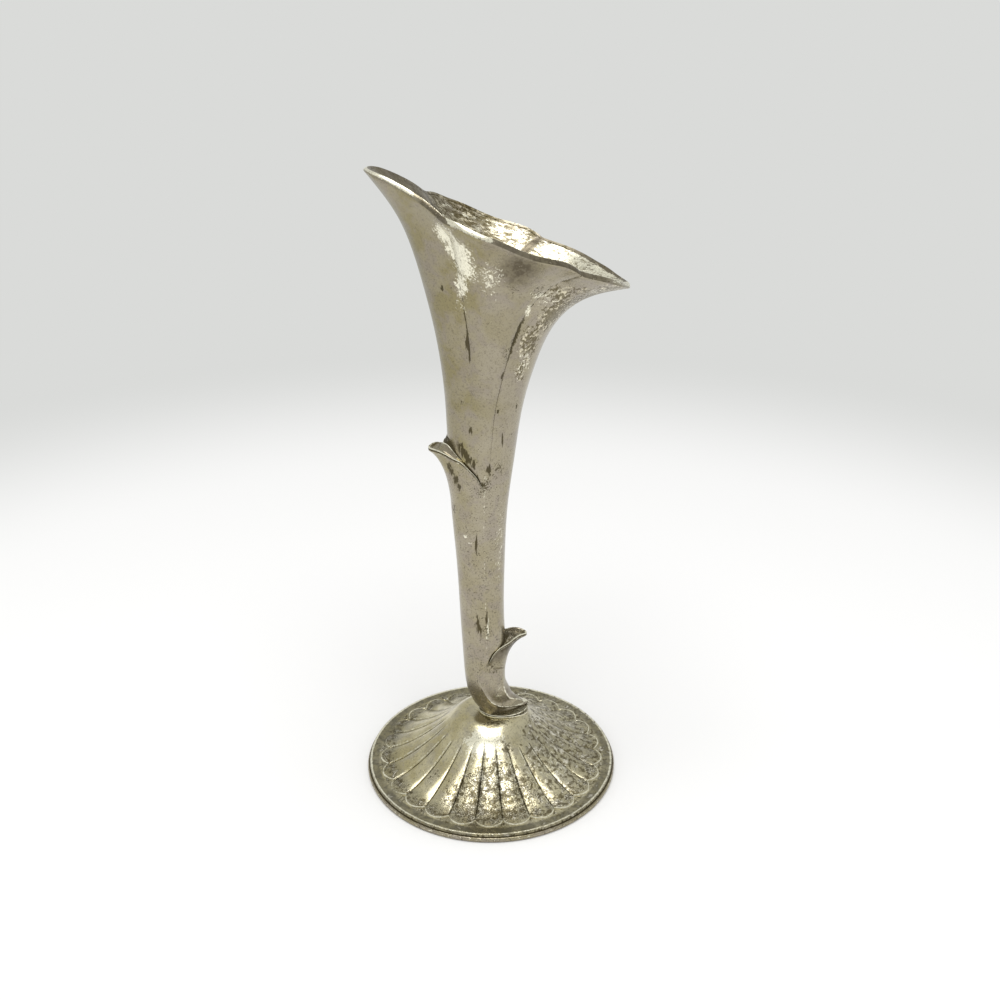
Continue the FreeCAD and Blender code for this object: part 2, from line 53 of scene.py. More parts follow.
MM = 0.001
BODY = "root"
SHARP_ANGLE = math.radians(38)
MIRROR_ACROSS = np.array([1.0, -1.0, 1.0])


class Ends(Enum):
    """How the first and the last ring of a skin are closed."""

    POLES = "poles"
    LOOP = "loop"


class Slot(Enum):
    """Names for the material slots of the pieces that are replaced."""

    BODY_PLATE = "body_plate"
    FOOT_PLATE = "foot_plate"


# Small tools for curves and meshes


def smooth_through(places: Sequence[float], values: Sequence[float], at: np.ndarray) -> np.ndarray:
    """Reads a natural cubic curve through points.

    Args:
        places: Rising places of the points.
        values: The value at each place.
        at: Places to read.

    Returns:
        The curve's values at those places.
    """
    x, y = np.asarray(places, float), np.asarray(values, float)
    count = len(x)
    step = np.diff(x)
    matrix, right = np.eye(count), np.zeros(count)
    for i in range(1, count - 1):
        matrix[i, i - 1:i + 2] = step[i - 1], 2 * (step[i - 1] + step[i]), step[i]
        right[i] = 6 * ((y[i + 1] - y[i]) / step[i] - (y[i] - y[i - 1]) / step[i - 1])
    bend = np.linalg.solve(matrix, right)
    at = np.asarray(at, float)
    left = np.clip(np.searchsorted(x, at) - 1, 0, count - 2)
    h = step[left]
    a, b = (x[left + 1] - at) / h, (at - x[left]) / h
    return (
        a * y[left] + b * y[left + 1]
        + ((a ** 3 - a) * bend[left] + (b ** 3 - b) * bend[left + 1]) * h * h / 6
    )


def smooth_step(share: np.ndarray) -> np.ndarray:
    """Eases from 0 to 1 as share goes from 0 to 1."""
    share = np.clip(share, 0, 1)
    return share * share * (3 - 2 * share)


def unit(vectors: np.ndarray) -> np.ndarray:
    """Vectors of length 1 along the last axis."""
    return vectors / np.maximum(np.linalg.norm(vectors, axis=-1, keepdims=True), 1e-9)


def blob(points: np.ndarray, centre: Sequence[float], reach: Sequence[float]) -> np.ndarray:
    """A soft spot: 1 at its centre, 0 at its reach along each axis and beyond."""
    away = np.linalg.norm((points - np.array(centre)) / np.array(reach), axis=-1)
    return smooth_step(1 - away)


def blobs(points: np.ndarray, spots: Sequence[tuple]) -> np.ndarray:
    """The strongest of several soft spots.

    Args:
        points: Points to read.
        spots: The centre, the reach along each axis and the strength of each spot.

    Returns:
        A value for each point, 0 where no spot reaches.
    """
    total = np.zeros(points.shape[:-1])
    for centre, reach, strength in spots:
        total = np.maximum(total, strength * blob(points, centre, reach))
    return total


def make_mesh(name: str, points: np.ndarray, faces: list, layers: dict[str, np.ndarray]) -> Any:
    """Makes an object from points and faces.

    Args:
        name: Name of the piece.
        points: Vertices in millimetres.
        faces: Vertex indices of each face.
        layers: Values for each vertex, by attribute name.

    Returns:
        The new object, at the origin.
    """
    mesh = bpy.data.meshes.new(name)
    mesh.from_pydata((points * MM).tolist(), [], faces)
    for layer, values in layers.items():
        attribute = mesh.attributes.new(layer, "FLOAT", "POINT")
        attribute.data.foreach_set("value", np.asarray(values, np.float32).ravel())
    mesh.shade_smooth()
    mesh.set_sharp_from_angle(angle=SHARP_ANGLE)
    piece = bpy.data.objects.new(name, mesh)
    bpy.context.scene.collection.objects.link(piece)
    return piece


def skin(name: str, rings: np.ndarray, ends: Ends, layers: dict[str, np.ndarray]) -> Any:
    """Joins closed rings of points into one closed skin.

    Args:
        name: Name of the piece.
        rings: Points as rows of rings, each ring anticlockwise seen from where the rows lead.
        ends: Whether the end rings shrink to poles or join each other.
        layers: Values for each point of each ring, by attribute name.

    Returns:
        The new object.
    """
    rows, columns = rings.shape[:2]
    points = rings.reshape(-1, 3)
    values = {layer: grid.reshape(-1) for layer, grid in layers.items()}
    faces = []
    last = rows if ends is Ends.LOOP else rows - 1
    for i in range(last):
        this, above = i * columns, ((i + 1) % rows) * columns
        for j in range(columns):
            k = (j + 1) % columns
            faces.append((this + j, this + k, above + k, above + j))
    if ends is Ends.POLES:
        count = rows * columns
        points = np.vstack([points, rings[0].mean(0), rings[-1].mean(0)])
        values = {layer: np.append(flat, (flat[0], flat[-1])) for layer, flat in values.items()}
        top = (rows - 1) * columns
        for j in range(columns):
            k = (j + 1) % columns
            faces.append((count, k, j))
            faces.append((count + 1, top + j, top + k))
    return make_mesh(name, points, faces, values)


# Node trees


def linear(hex_colour: str) -> tuple[float, float, float, float]:
    """Turns an sRGB hex colour into linear light.

    Args:
        hex_colour: Six hex digits after a hash sign.

    Returns:
        Red, green, blue and alpha.
    """
    parts = [int(hex_colour[i:i + 2], 16) / 255 for i in (1, 3, 5)]
    red, green, blue = [
        part / 12.92 if part <= 0.04045 else ((part + 0.055) / 1.055) ** 2.4 for part in parts
    ]
    return red, green, blue, 1.0


def add_node(
    tree: Any, kind: str, settings: Optional[dict] = None, links: Optional[dict] = None,
) -> Any:
    """Adds a node with its settings and links.

    Args:
        tree: The node tree.
        kind: The node's type name.
        settings: Values by property name, or by input name or number.
        links: Output sockets by input name or number.

    Returns:
        The new node.
    """
    node = tree.nodes.new(kind)
    for key, value in (settings or {}).items():
        if isinstance(key, str) and hasattr(node, key):
            setattr(node, key, value)
        else:
            node.inputs[key].default_value = value
    for key, socket in (links or {}).items():
        tree.links.new(socket, node.inputs[key])
    return node


def new_tree(name: str) -> tuple[Any, Any]:
    """Makes a material.

    Args:
        name: The material's name.

    Returns:
        The material and its empty node tree.
    """
    material = bpy.data.materials.new(name)
    material.use_nodes = True
    material.node_tree.nodes.clear()
    return material, material.node_tree


class Pattern(NamedTuple):
    """A noise on the plate: its size in millimetres and the space that it is drawn in.

    Real grit on such plate is about 0.1 mm. That is too fine to show, so grain, speck and slit
    are drawn several times coarser.
    """

    name: str
    size: float
    detail: float
    rough: float
    twist: float
    space: str


class Coat(NamedTuple):
    """A broken coat of colour.

    It shows where its pattern, with gain times its mask, rises from low to high.
    """

    name: str
    pattern: str
    mask: Optional[str]
    gain: float
    low: float
    high: float
    strength: float
    colour: str


# The coats in the order in which they lie on the plate.
COATS = (
    # The first coat is cream: bared silver where the plate is worn, and painted highlights on
    # edges, beads, rims and the foot's front.
    Coat("bare_and_highlight", "chip", "worn_and_highlight", 0.38, 0.726, 0.806, 0.92, "worn_and_highlight"),
    Coat("grainy", "grain", None, 0.0, 0.5, 0.72, 0.48, "dusk_and_shade"),
    Coat("pale_flakes", "patch", "crust", 0.27, 0.765, 0.865, 0.8, "flake_pale"),
    Coat("dark_flakes", "flake", "crust", 0.306, 0.765, 0.865, 0.82, "flake_dark"),
    Coat("pitted", "prick", "pits", 0.45, 0.78, 0.85, 0.82, "stain_and_shade"),
    # The stained coat shows real stains, and painted shade where the stain mask carries it.
    Coat("stained_and_shaded", "slit", "stain_and_shade", 0.33, 0.681, 0.781, 0.88, "stain_and_shade"),
)
# How much each coat adds to the roughness, and how deep it lies as a share of the relief.
MATT_COATS = (("dark_flakes", 0.12), ("stained_and_shaded", 0.25), ("dusky", 0.08))
SUNK_COATS = (("stained_and_shaded", 0.35), ("pitted", 0.35), ("dark_flakes", 0.2))

# What a mesh says of each of its points. A mesh without one of these reads 0 there.
# The wear mask also carries painted highlights, and the dusk and stain masks also carry painted
# shade.
MASKS = ("worn_and_highlight", "crust", "pits", "stain_and_shade", "dusk_and_shade", "olive", "streak")
# The way down the mouth's slant, and how the slits are drawn out along the tube.
MOUTH_SLANT = (0.91, 0.0, -0.41)
UPRIGHT_STRETCH = (1.0, 1.0, 0.2)


@dataclass(frozen=True)
class TarnishedPlate:
    """Silver electroplate on cast white metal, satin, tarnished by years of air and water.

    The eye sees a soft champagne grey that mirrors its surroundings dimly, olive and dusky grey
    where the tarnish is thick, cream where wear has bared clean silver, olive-brown slits along
    creases, and a broken crust of pale and dark flakes where water has eaten the plate. The same
    dusky grey and dark stain colour also paint shade in grooves, undercuts and creases, and the
    same cream paints highlights along edges, beads, rims and the foot's front.
    """

    name: str
    clean: str = "#A79F8C"
    olive: str = "#968D6A"
    mauve: str = "#9A9188"
    dusk_and_shade: str = "#665E4F"
    worn_and_highlight: str = "#F9F5DF"
    stain_and_shade: str = "#4D452E"
    flake_pale: str = "#E2D9BE"
    flake_dark: str = "#5E5438"
    olive_share: float = 0.42
    gloss: float = 0.25
    crust_mm: float = 1.3
    grain_mm: float = 0.55
    relief_mm: float = 0.1
    relief_strength: float = 0.8
    streak_draw: float = 0.72

    def patterns(self) -> tuple[Pattern, ...]:
        """The noises: tarnish in clouds, flakes, grit, and slits drawn out along the tube."""
        return (
            Pattern("cloud", 11.0, 4, 0.6, 0.0, "even"),
            Pattern("drift", 4.5, 4, 0.6, 0.4, "even"),
            Pattern("patch", self.crust_mm * 1.25, 6, 0.66, 0.5, "streaked"),
            Pattern("flake", self.crust_mm * 0.62, 5, 0.6, 0.3, "streaked"),
            Pattern("grain", self.grain_mm, 3, 0.6, 0.0, "even"),
            Pattern("speck", 0.36, 3, 0.6, 0.3, "streaked"),
            Pattern("slit", 0.62, 5, 0.62, 0.5, "upright"),
            Pattern("chip", 1.0, 7, 0.74, 0.9, "streaked"),
        )

    def add_patterns(self, tree: Any, streak: Any) -> dict[str, Any]:
        """Adds the noises, in millimetres of the object.

        Args:
            tree: The material's node tree.
            streak: Output that tells how far the flakes are drawn out.

        Returns:
            The noises' outputs by name.
        """
        place = add_node(tree, "ShaderNodeTexCoord").outputs["Object"]
        even = add_node(
            tree, "ShaderNodeVectorMath", {"operation": "SCALE", "Scale": 1 / MM}, {0: place},
        ).outputs[0]
        upright = add_node(
            tree, "ShaderNodeVectorMath", {"operation": "MULTIPLY", 1: UPRIGHT_STRETCH}, {0: even},
        ).outputs[0]
        # Where the plate is streaked, distances along the mouth's slant are shortened.
        slant = add_node(
            tree, "ShaderNodeVectorMath", {"operation": "PROJECT", 1: MOUTH_SLANT}, {0: even},
        ).outputs[0]
        draw = add_node(
            tree, "ShaderNodeMath", {"operation": "MULTIPLY", 1: self.streak_draw}, {0: streak},
        ).outputs[0]
        drawn = add_node(
            tree, "ShaderNodeVectorMath", {"operation": "SCALE"}, {0: slant, "Scale": draw},
        ).outputs[0]
        streaked = add_node(
            tree, "ShaderNodeVectorMath", {"operation": "SUBTRACT"}, {0: even, 1: drawn},
        ).outputs[0]
        spaces = {"even": even, "upright": upright, "streaked": streaked}
        outputs = {
            pattern.name: add_node(tree, "ShaderNodeTexNoise", {
                "Scale": 1 / pattern.size, "Detail": pattern.detail, "Roughness": pattern.rough,
                "Distortion": pattern.twist,
            }, {"Vector": spaces[pattern.space]}).outputs["Fac"]
            for pattern in self.patterns()
        }
        fine = add_node(
            tree, "ShaderNodeMath", {"operation": "MULTIPLY", 1: 0.65}, {0: outputs["speck"]})
        outputs["prick"] = add_node(
            tree, "ShaderNodeMath", {"operation": "MULTIPLY_ADD", 1: 0.35},
            {0: outputs["patch"], 2: fine.outputs[0]},
        ).outputs[0]
        return outputs

    def add_coats(
        self, tree: Any, masks: dict[str, Any], patterns: dict[str, Any],
    ) -> tuple[Any, dict[str, Any]]:
        """Lays the tarnish, the wear and the dirt, and painted highlights and shade, on the clean
        plate.

        Args:
            tree: The material's node tree.
            masks: Outputs of the attributes by name.
            patterns: Outputs of the noises by name.

        Returns:
            The colour's output, and by its name how far each coat shows.
        """
        veils = {
            name: add_node(tree, "ShaderNodeMapRange", {
                "interpolation_type": "SMOOTHSTEP", "From Min": low, "From Max": high,
                "To Min": least, "To Max": most,
            }, {"Value": patterns[pattern]}).outputs[0]
            for name, pattern, low, high, least, most in (
                ("clouds", "cloud", 0.4, 0.64, 0.0, 1.0), ("mauve", "drift", 0.46, 0.64, 0.0, 0.5),
                ("dusky", "patch", 0.4, 0.6, 0.62, 1.0),
            )
        }
        thick = add_node(
            tree, "ShaderNodeMath", {"operation": "MULTIPLY_ADD", 1: 0.8, 2: 0.6},
            {0: veils["clouds"]})
        masked = add_node(
            tree, "ShaderNodeMath", {"operation": "MULTIPLY", "use_clamp": True},
            {0: masks["olive"], 1: thick.outputs[0]})
        olive = add_node(
            tree, "ShaderNodeMath",
            {"operation": "MULTIPLY_ADD", "use_clamp": True, 1: self.olive_share},
            {0: veils["clouds"], 2: masked.outputs[0]})
        # The dusk mask darkens the plate to the dusk colour: thick tarnish, and painted shade in
        # grooves, undercuts and creases.
        dusky = add_node(
            tree, "ShaderNodeMath", {"operation": "MULTIPLY", "use_clamp": True},
            {0: masks["dusk_and_shade"], 1: veils["dusky"]})
        colour = add_node(
            tree, "ShaderNodeMix",
            {"data_type": "RGBA", 6: linear(self.clean), 7: linear(self.olive)},
            {0: olive.outputs[0]},
        ).outputs[2]
        for share, over in ((veils["mauve"], self.mauve), (dusky.outputs[0], self.dusk_and_shade)):
            colour = add_node(
                tree, "ShaderNodeMix", {"data_type": "RGBA", 7: linear(over)},
                {0: share, 6: colour},
            ).outputs[2]
        shown = {"dusky": dusky.outputs[0]}
        for coat in COATS:
            amount = patterns[coat.pattern]
            if coat.mask:
                amount = add_node(
                    tree, "ShaderNodeMath", {"operation": "MULTIPLY_ADD", 1: coat.gain},
                    {0: masks[coat.mask], 2: amount},
                ).outputs[0]
            shown[coat.name] = add_node(tree, "ShaderNodeMapRange", {
                "interpolation_type": "SMOOTHSTEP", "From Min": coat.low, "From Max": coat.high,
            }, {"Value": amount}).outputs[0]
            share = add_node(
                tree, "ShaderNodeMath", {"operation": "MULTIPLY", 1: coat.strength},
                {0: shown[coat.name]})
            colour = add_node(
                tree, "ShaderNodeMix",
                {"data_type": "RGBA", 7: linear(getattr(self, coat.colour))},
                {0: share.outputs[0], 6: colour},
            ).outputs[2]
        return colour, shown

    def add_relief(self, tree: Any, grain: Any, shown: dict[str, Any]) -> tuple[Any, Any]:
        """Makes the coats matt, and raises the pale flakes above the pits, the stains with their
        painted shade, and the dark flakes.

        Args:
            tree: The material's node tree.
            grain: Output of the finest noise.
            shown: How far each coat shows, by its name.

        Returns:
            The outputs of the roughness and of the height.
        """
        roughness: Any = None
        for name, matt in MATT_COATS:
            settings, links = {"operation": "MULTIPLY_ADD", 1: matt}, {0: shown[name]}
            if roughness is None:
                settings[2] = self.gloss
            else:
                links[2] = roughness
            roughness = add_node(tree, "ShaderNodeMath", settings, links).outputs[0]
        raised = add_node(tree, "ShaderNodeMath", {"operation": "MULTIPLY", 1: 0.16}, {0: grain})
        raised = add_node(
            tree, "ShaderNodeMath", {"operation": "MULTIPLY_ADD", 1: 0.3},
            {0: shown["pale_flakes"], 2: raised.outputs[0]})
        sunk: Any = None
        for name, depth in SUNK_COATS:
            part = add_node(
                tree, "ShaderNodeMath", {"operation": "MULTIPLY", 1: depth}, {0: shown[name]},
            ).outputs[0]
            sunk = part if sunk is None else add_node(
                tree, "ShaderNodeMath", {"operation": "MAXIMUM"}, {0: sunk, 1: part},
            ).outputs[0]
        height = add_node(
            tree, "ShaderNodeMath", {"operation": "SUBTRACT"}, {0: raised.outputs[0], 1: sunk})
        return roughness, height.outputs[0]

    def build(self) -> Any:
        """Makes the material.

        Returns:
            The material, which reads the attributes in MASKS.
        """
        material, tree = new_tree(self.name)
        masks = {
            layer: add_node(tree, "ShaderNodeAttribute", {"attribute_name": layer}).outputs["Fac"]
            for layer in MASKS
        }
        patterns = self.add_patterns(tree, masks["streak"])
        colour, shown = self.add_coats(tree, masks, patterns)
        roughness, height = self.add_relief(tree, patterns["grain"], shown)
        bump = add_node(
            tree, "ShaderNodeBump",
            {"Strength": self.relief_strength, "Distance": self.relief_mm * MM},
            {"Height": height})
        surface = add_node(
            tree, "ShaderNodeBsdfPrincipled", {"Metallic": 1.0},
            {"Base Color": colour, "Roughness": roughness, "Normal": bump.outputs[0]})
        add_node(tree, "ShaderNodeOutputMaterial", {}, {"Surface": surface.outputs[0]})
        return material


@dataclass(frozen=True)
class TurnedBrass:
    """Turned brass, dulled by handling: the eye sees a warm yellow, mottled brown."""

    name: str
    metal: str = "#B99650"
    tarnish: str = "#7E6434"
    mottles_per_metre: float = 900.0
    roughness: float = 0.38

    def build(self) -> Any:
        """Makes the material.

        Returns:
            The material.
        """
        material, tree = new_tree(self.name)
        place = add_node(tree, "ShaderNodeTexCoord")
        mottle = add_node(
            tree, "ShaderNodeTexNoise", {"Scale": self.mottles_per_metre, "Detail": 3.0},
            {"Vector": place.outputs["Object"]})
        colour = add_node(
            tree, "ShaderNodeMix",
            {"data_type": "RGBA", 6: linear(self.metal), 7: linear(self.tarnish)},
            {0: mottle.outputs["Fac"]})
        surface = add_node(
            tree, "ShaderNodeBsdfPrincipled", {"Metallic": 1.0, "Roughness": self.roughness},
            {"Base Color": colour.outputs[2]})
        add_node(tree, "ShaderNodeOutputMaterial", {}, {"Surface": surface.outputs[0]})
        return material


# Sub-assemblies


class Station(NamedTuple):
    """One outline of the tube, in millimetres and degrees."""

    height: float
    centre: float
    tilt: float
    high_half: float
    low_half: float
    half_depth: float
    high_petal: float
    low_petal: float
    valley: float
    pointed: float
    swell: float


TUBE_STATIONS = (
    Station(20.00, -0.99, 0.00, 2.61, 13.10, 4.70, 6.0, 6.0, 0.00, 0.40, 0.00),
    Station(20.35, -0.99, 0.00, 2.86, 12.70, 4.77, 6.0, 6.0, 0.00, 0.42, 0.00),
    Station(20.70, -0.99, 0.00, 3.10, 11.30, 4.83, 6.0, 6.0, 0.00, 0.42, 0.00),
    Station(21.30, -0.99, 0.00, 3.52, 10.00, 4.94, 6.0, 6.0, 0.00, 0.38, 0.00),
    Station(22.40, -0.99, 0.00, 4.25, 8.80, 5.12, 6.0, 6.0, 0.00, 0.28, 0.00),
    Station(24.00, -0.99, 0.00, 5.05, 7.65, 5.36, 6.0, 6.0, 0.00, 0.16, 0.00),
    Station(26.00, -0.99, 0.00, 5.76, 6.85, 5.68, 6.0, 6.0, 0.00, 0.07, 0.00),
    Station(28.67, -1.10, 0.00, 6.25, 5.85, 6.00, 6.0, 6.0, 0.00, 0.00, 0.00),
    Station(35.89, -1.80, 0.00, 6.20, 6.20, 6.16, 6.0, 6.0, 0.00, 0.00, 0.00),
    Station(49.91, -2.37, 0.00, 6.36, 6.37, 6.47, 6.0, 6.0, 0.00, 0.00, 0.00),
    Station(69.85, -2.79, 0.00, 6.85, 6.86, 6.79, 6.0, 6.0, 0.00, 0.00, 0.00),
    Station(87.91, -3.00, 2.00, 7.97, 7.93, 7.73, 9.0, 6.0, 0.04, 0.00, 0.02),
    Station(103.95, -2.25, 7.99, 9.41, 9.20, 8.67, 18.9, 6.5, 0.16, 0.00, 0.16),
    Station(118.97, -1.29, 13.99, 11.29, 10.51, 9.93, 28.8, 8.1, 0.30, 0.00, 0.46),
    Station(131.98, 0.30, 18.48, 15.32, 12.45, 12.12, 30.6, 11.7, 0.44, 0.00, 0.85),
    Station(142.96, 0.51, 21.48, 18.81, 16.59, 14.48, 31.5, 18.0, 0.58, 0.14, 1.31),
    Station(151.92, 0.39, 23.48, 22.13, 22.69, 17.15, 32.4, 24.3, 0.72, 0.31, 1.71),
    Station(159.00, 0.21, 24.48, 26.73, 30.91, 19.50, 30.6, 28.8, 0.80, 0.45, 2.05),
    Station(164.30, 0.00, 24.97, 32.90, 40.10, 21.55, 28.8, 30.6, 0.80, 0.55, 2.20),
)

# The inner edge of the mouth's rim on one side of the plane of symmetry, petal by petal.
LOW_PETAL_RIM = (
    (36.80, 0.0, 148.25), (36.40, 3.0, 148.45), (35.30, 6.1, 149.10), (34.00, 9.0, 150.00),
    (32.00, 12.3, 151.02), (30.00, 15.3, 152.04), (28.00, 17.3, 153.00), (26.00, 18.6, 153.82),
    (24.00, 19.5, 154.55), (22.00, 20.2, 155.18), (20.20, 20.8, 155.75), (18.30, 21.4, 156.45),
)
WIDE_PETAL_RIM = (
    (18.30, 21.4, 156.45), (17.00, 22.3, 157.50), (15.00, 23.1, 158.69), (13.00, 23.9, 159.45),
    (10.00, 24.8, 160.32), (7.00, 25.3, 161.14), (4.00, 25.7, 162.27), (1.00, 26.0, 163.61),
    (-2.00, 26.2, 165.04), (-5.00, 26.4, 166.26), (-7.00, 26.1, 167.03), (-9.00, 25.3, 167.97),
    (-11.00, 23.8, 168.90), (-12.50, 22.0, 169.37), (-13.50, 20.4, 169.70), (-14.30, 19.2, 170.20),
)
HIGH_PETAL_RIM = (
    (-14.30, 19.2, 170.20), (-15.00, 18.0, 170.85), (-16.00, 16.8, 171.67), (-18.00, 14.8, 173.15),
    (-20.00, 13.1, 174.39), (-22.00, 11.5, 175.54), (-24.00, 9.9, 176.56), (-26.00, 8.2, 177.48),
    (-27.90, 6.2, 178.10), (-29.00, 4.1, 178.38), (-29.55, 2.1, 178.45), (-29.70, 0.0, 178.45),
)

# Along the rim: the inner edge's place, and there the face's slope in degrees and its width.
RIM_FACE = (
    (-30.0, 22.0, 1.1), (-27.5, 48.0, 1.35), (-23.0, 60.0, 1.5), (32.0, 60.0, 1.5),
    (36.2, 88.0, 1.1),
)
# Across the rim's face, from its outer edge to its inner edge.
RIM_SHARES = (0.05, 0.2, 0.4, 0.6, 0.8, 0.95)

# Around the heel: the bearing from the toe in degrees and the height of the sole's edge there.
SOLE_EDGE = (
    (0.0, 20.55), (11.0, 20.50), (24.0, 20.50), (40.0, 21.10), (53.0, 21.95), (65.0, 22.75),
    (89.0, 25.10), (103.0, 27.80), (115.0, 31.30), (130.0, 33.00), (180.0, 33.00),
)
SOLE_RIDGE = ((0.0, 0.08), (24.0, 0.22), (60.0, 0.42), (90.0, 0.5), (108.0, 0.3), (120.0, 0.0))
# Up the heel: the height and the bearing of the edge between its front and its saddle.
SADDLE_EDGE = (
    (21.0, 4.0), (22.2, 11.0), (23.2, 20.0), (24.5, 28.5), (27.4, 33.5), (30.0, 31.0),
    (33.0, 29.0),
)


@dataclass
class Trumpet:
    """The cast tube with its petalled mouth and its heel."""

    finish: Any
    stations: Sequence[Station] = TUBE_STATIONS
    wall: float = 1.15
    rim_crown: float = 0.16
    rim_from: float = 124.0
    rim_fade: float = 2.6
    notch_dip: float = 1.2
    arris: float = 0.2
    arris_reach: float = 0.55
    arris_fade_from: float = 80.0
    arris_fade: float = 50.0
    sole_reach: float = 0.9
    sole_reach_below: float = 0.54
    sole_cut: float = 0.4
    sole_cut_run: float = 0.5
    saddle_ridge: float = 0.34
    saddle_reach: float = 0.75
    saddle_from: float = 20.6
    saddle_to: float = 32.5
    cheek_share: float = 0.6
    cheek_reach: float = 1.6
    heel_top: float = 38.0
    heel_outline: float = 24.0
    heel_wear_top: float = 34.0
    cavity_floor: float = 27.0
    undercut_rows: int = 5
    heel_rows: int = 44
    outer_rows: int = 160
    inner_rows: int = 84
    side_columns: int = 78
    petal_columns: int = 50

    def columns(self) -> tuple[np.ndarray, np.ndarray, np.ndarray]:
        """The outline's columns.

        Returns:
            For each column its arc (0 low side, 1 back, 2 high side, 3 front), its share along the
            arc from -1 to 1, and the sign of that arc's direction.
        """
        arcs, shares = [], []
        for arc in range(4):
            count = self.petal_columns if arc % 2 else self.side_columns
            even = -1 + 2 * np.arange(count) / count
            arcs.append(np.full(count, arc))
            shares.append(0.4 * even + 0.6 * np.sin(even * math.pi / 2))
        arc = np.concatenate(arcs)
        return arc, np.concatenate(shares), np.where(arc < 2, 1.0, -1.0)

    def at(self, heights: np.ndarray) -> dict[str, np.ndarray]:
        """Reads the stations smoothly.

        Args:
            heights: Heights to read them at.

        Returns:
            The values at those heights, by the names of a station's fields.
        """
        known, *columns = zip(*self.stations)
        return {
            name: smooth_through(known, column, heights)
            for name, column in zip(Station._fields[1:], columns)
        }

    def outlines(self, heights: np.ndarray) -> tuple[np.ndarray, np.ndarray]:
        """The outer face's rings, without the mouth's rim and the heel's edges.

        Args:
            heights: Heights of the outlines' centres, as rows of one height for each column.

        Returns:
            The points of each ring, and for each its distance to the nearest petal edge.
        """
        arc, share, sign = self.columns()
        v = self.at(heights)
        side = arc % 2 == 0
        toward_low = np.where(side, sign > 0, sign * share < 0)
        half = np.where(toward_low, v["low_half"], v["high_half"])
        petal = np.radians(np.where(toward_low, v["low_petal"], v["high_petal"]))
        reach = np.where(side, math.pi / 2 - petal, petal)
        angle = share * reach
        inward = v["valley"] * share ** 4
        point = np.clip(v["pointed"], 0, 1) * np.cos(share * math.pi / 2) ** 2
        side_along = sign * (half - inward) * np.cos(angle)
        side_across = sign * (v["half_depth"] - inward) * np.sin(angle) * (1 - point)
        petal_along = -sign * (half - inward) * np.sin(angle)
        petal_across = sign * (
            (v["half_depth"] - inward) * np.cos(angle) + v["swell"] * (1 - share * share)
        )
        along = np.where(side, side_along, petal_along)
        across = np.where(side, side_across, petal_across)
        fade = 1 - smooth_step((heights - self.arris_fade_from) / self.arris_fade)
        off_front = np.abs(np.arctan2(along, np.maximum(np.abs(across), 1e-6)))
        ridge = np.clip(1 - off_front / self.arris_reach, 0, 1) ** 2
        across = across + np.sign(across) * self.arris * fade * ridge
        below_top, top = (station.height for station in self.stations[-2:])
        near_top = smooth_step((heights - below_top) / (top - below_top))
        above = -self.notch_dip * np.abs(share) ** 6 * near_top
        tilt = np.radians(v["tilt"])
        rings = np.stack([
            v["centre"] + along * np.cos(tilt) + above * np.sin(tilt),
            across,
            heights - along * np.sin(tilt) + above * np.cos(tilt),
        ], axis=-1)
        return rings, (1 - np.abs(share)) * reach * half

    def normals(self, rings: np.ndarray) -> np.ndarray:
        """The outward directions at the points of rings."""
        round_ring = np.roll(rings, -1, axis=1) - np.roll(rings, 1, axis=1)
        return unit(np.cross(round_ring, np.gradient(rings, axis=0)))

    def rim_line(self, ring: np.ndarray) -> np.ndarray:
        """The inner edge of the mouth's rim.

        Args:
            ring: The topmost plain ring, whose spacing along each petal the line keeps.

        Returns:
            One point for each column.
        """
        arc = self.columns()[0]
        low, wide, high = map(np.array, (LOW_PETAL_RIM, WIDE_PETAL_RIM, HIGH_PETAL_RIM))
        paths = (
            np.concatenate([low[:0:-1] * MIRROR_ACROSS, low]), wide,
            np.concatenate([high, high[-2::-1] * MIRROR_ACROSS]), wide[::-1] * MIRROR_ACROSS,
        )
        line = np.zeros_like(ring)
        for number, path in enumerate(paths):
            places = np.flatnonzero(arc == number)
            ends = np.append(places, (places[-1] + 1) % len(arc))
            walked = np.append(0, np.cumsum(np.linalg.norm(np.diff(ring[ends], axis=0), axis=1)))
            along = np.append(0, np.cumsum(np.linalg.norm(np.diff(path, axis=0), axis=1)))
            where = walked[:-1] / walked[-1] * along[-1]
            for axis in range(3):
                line[places, axis] = smooth_through(along, path[:, axis], where)
        return line

    def rim_face(self, line: np.ndarray) -> np.ndarray:
        """The step across the rim's face.

        Args:
            line: The rim's inner edge.

        Returns:
            The way from the inner edge to the outer edge, for each column.
        """
        ahead = (np.roll(line, -1, axis=0) - np.roll(line, 1, axis=0))[:, :2]
        out = unit(np.stack([ahead[:, 1], -ahead[:, 0]], axis=-1))
        places, slopes, widths = zip(*RIM_FACE)
        slope = np.radians(np.interp(line[:, 0], places, slopes))[:, None]
        width = np.interp(line[:, 0], places, widths)[:, None]
        return width * np.hstack([out * np.cos(slope), -np.sin(slope)])

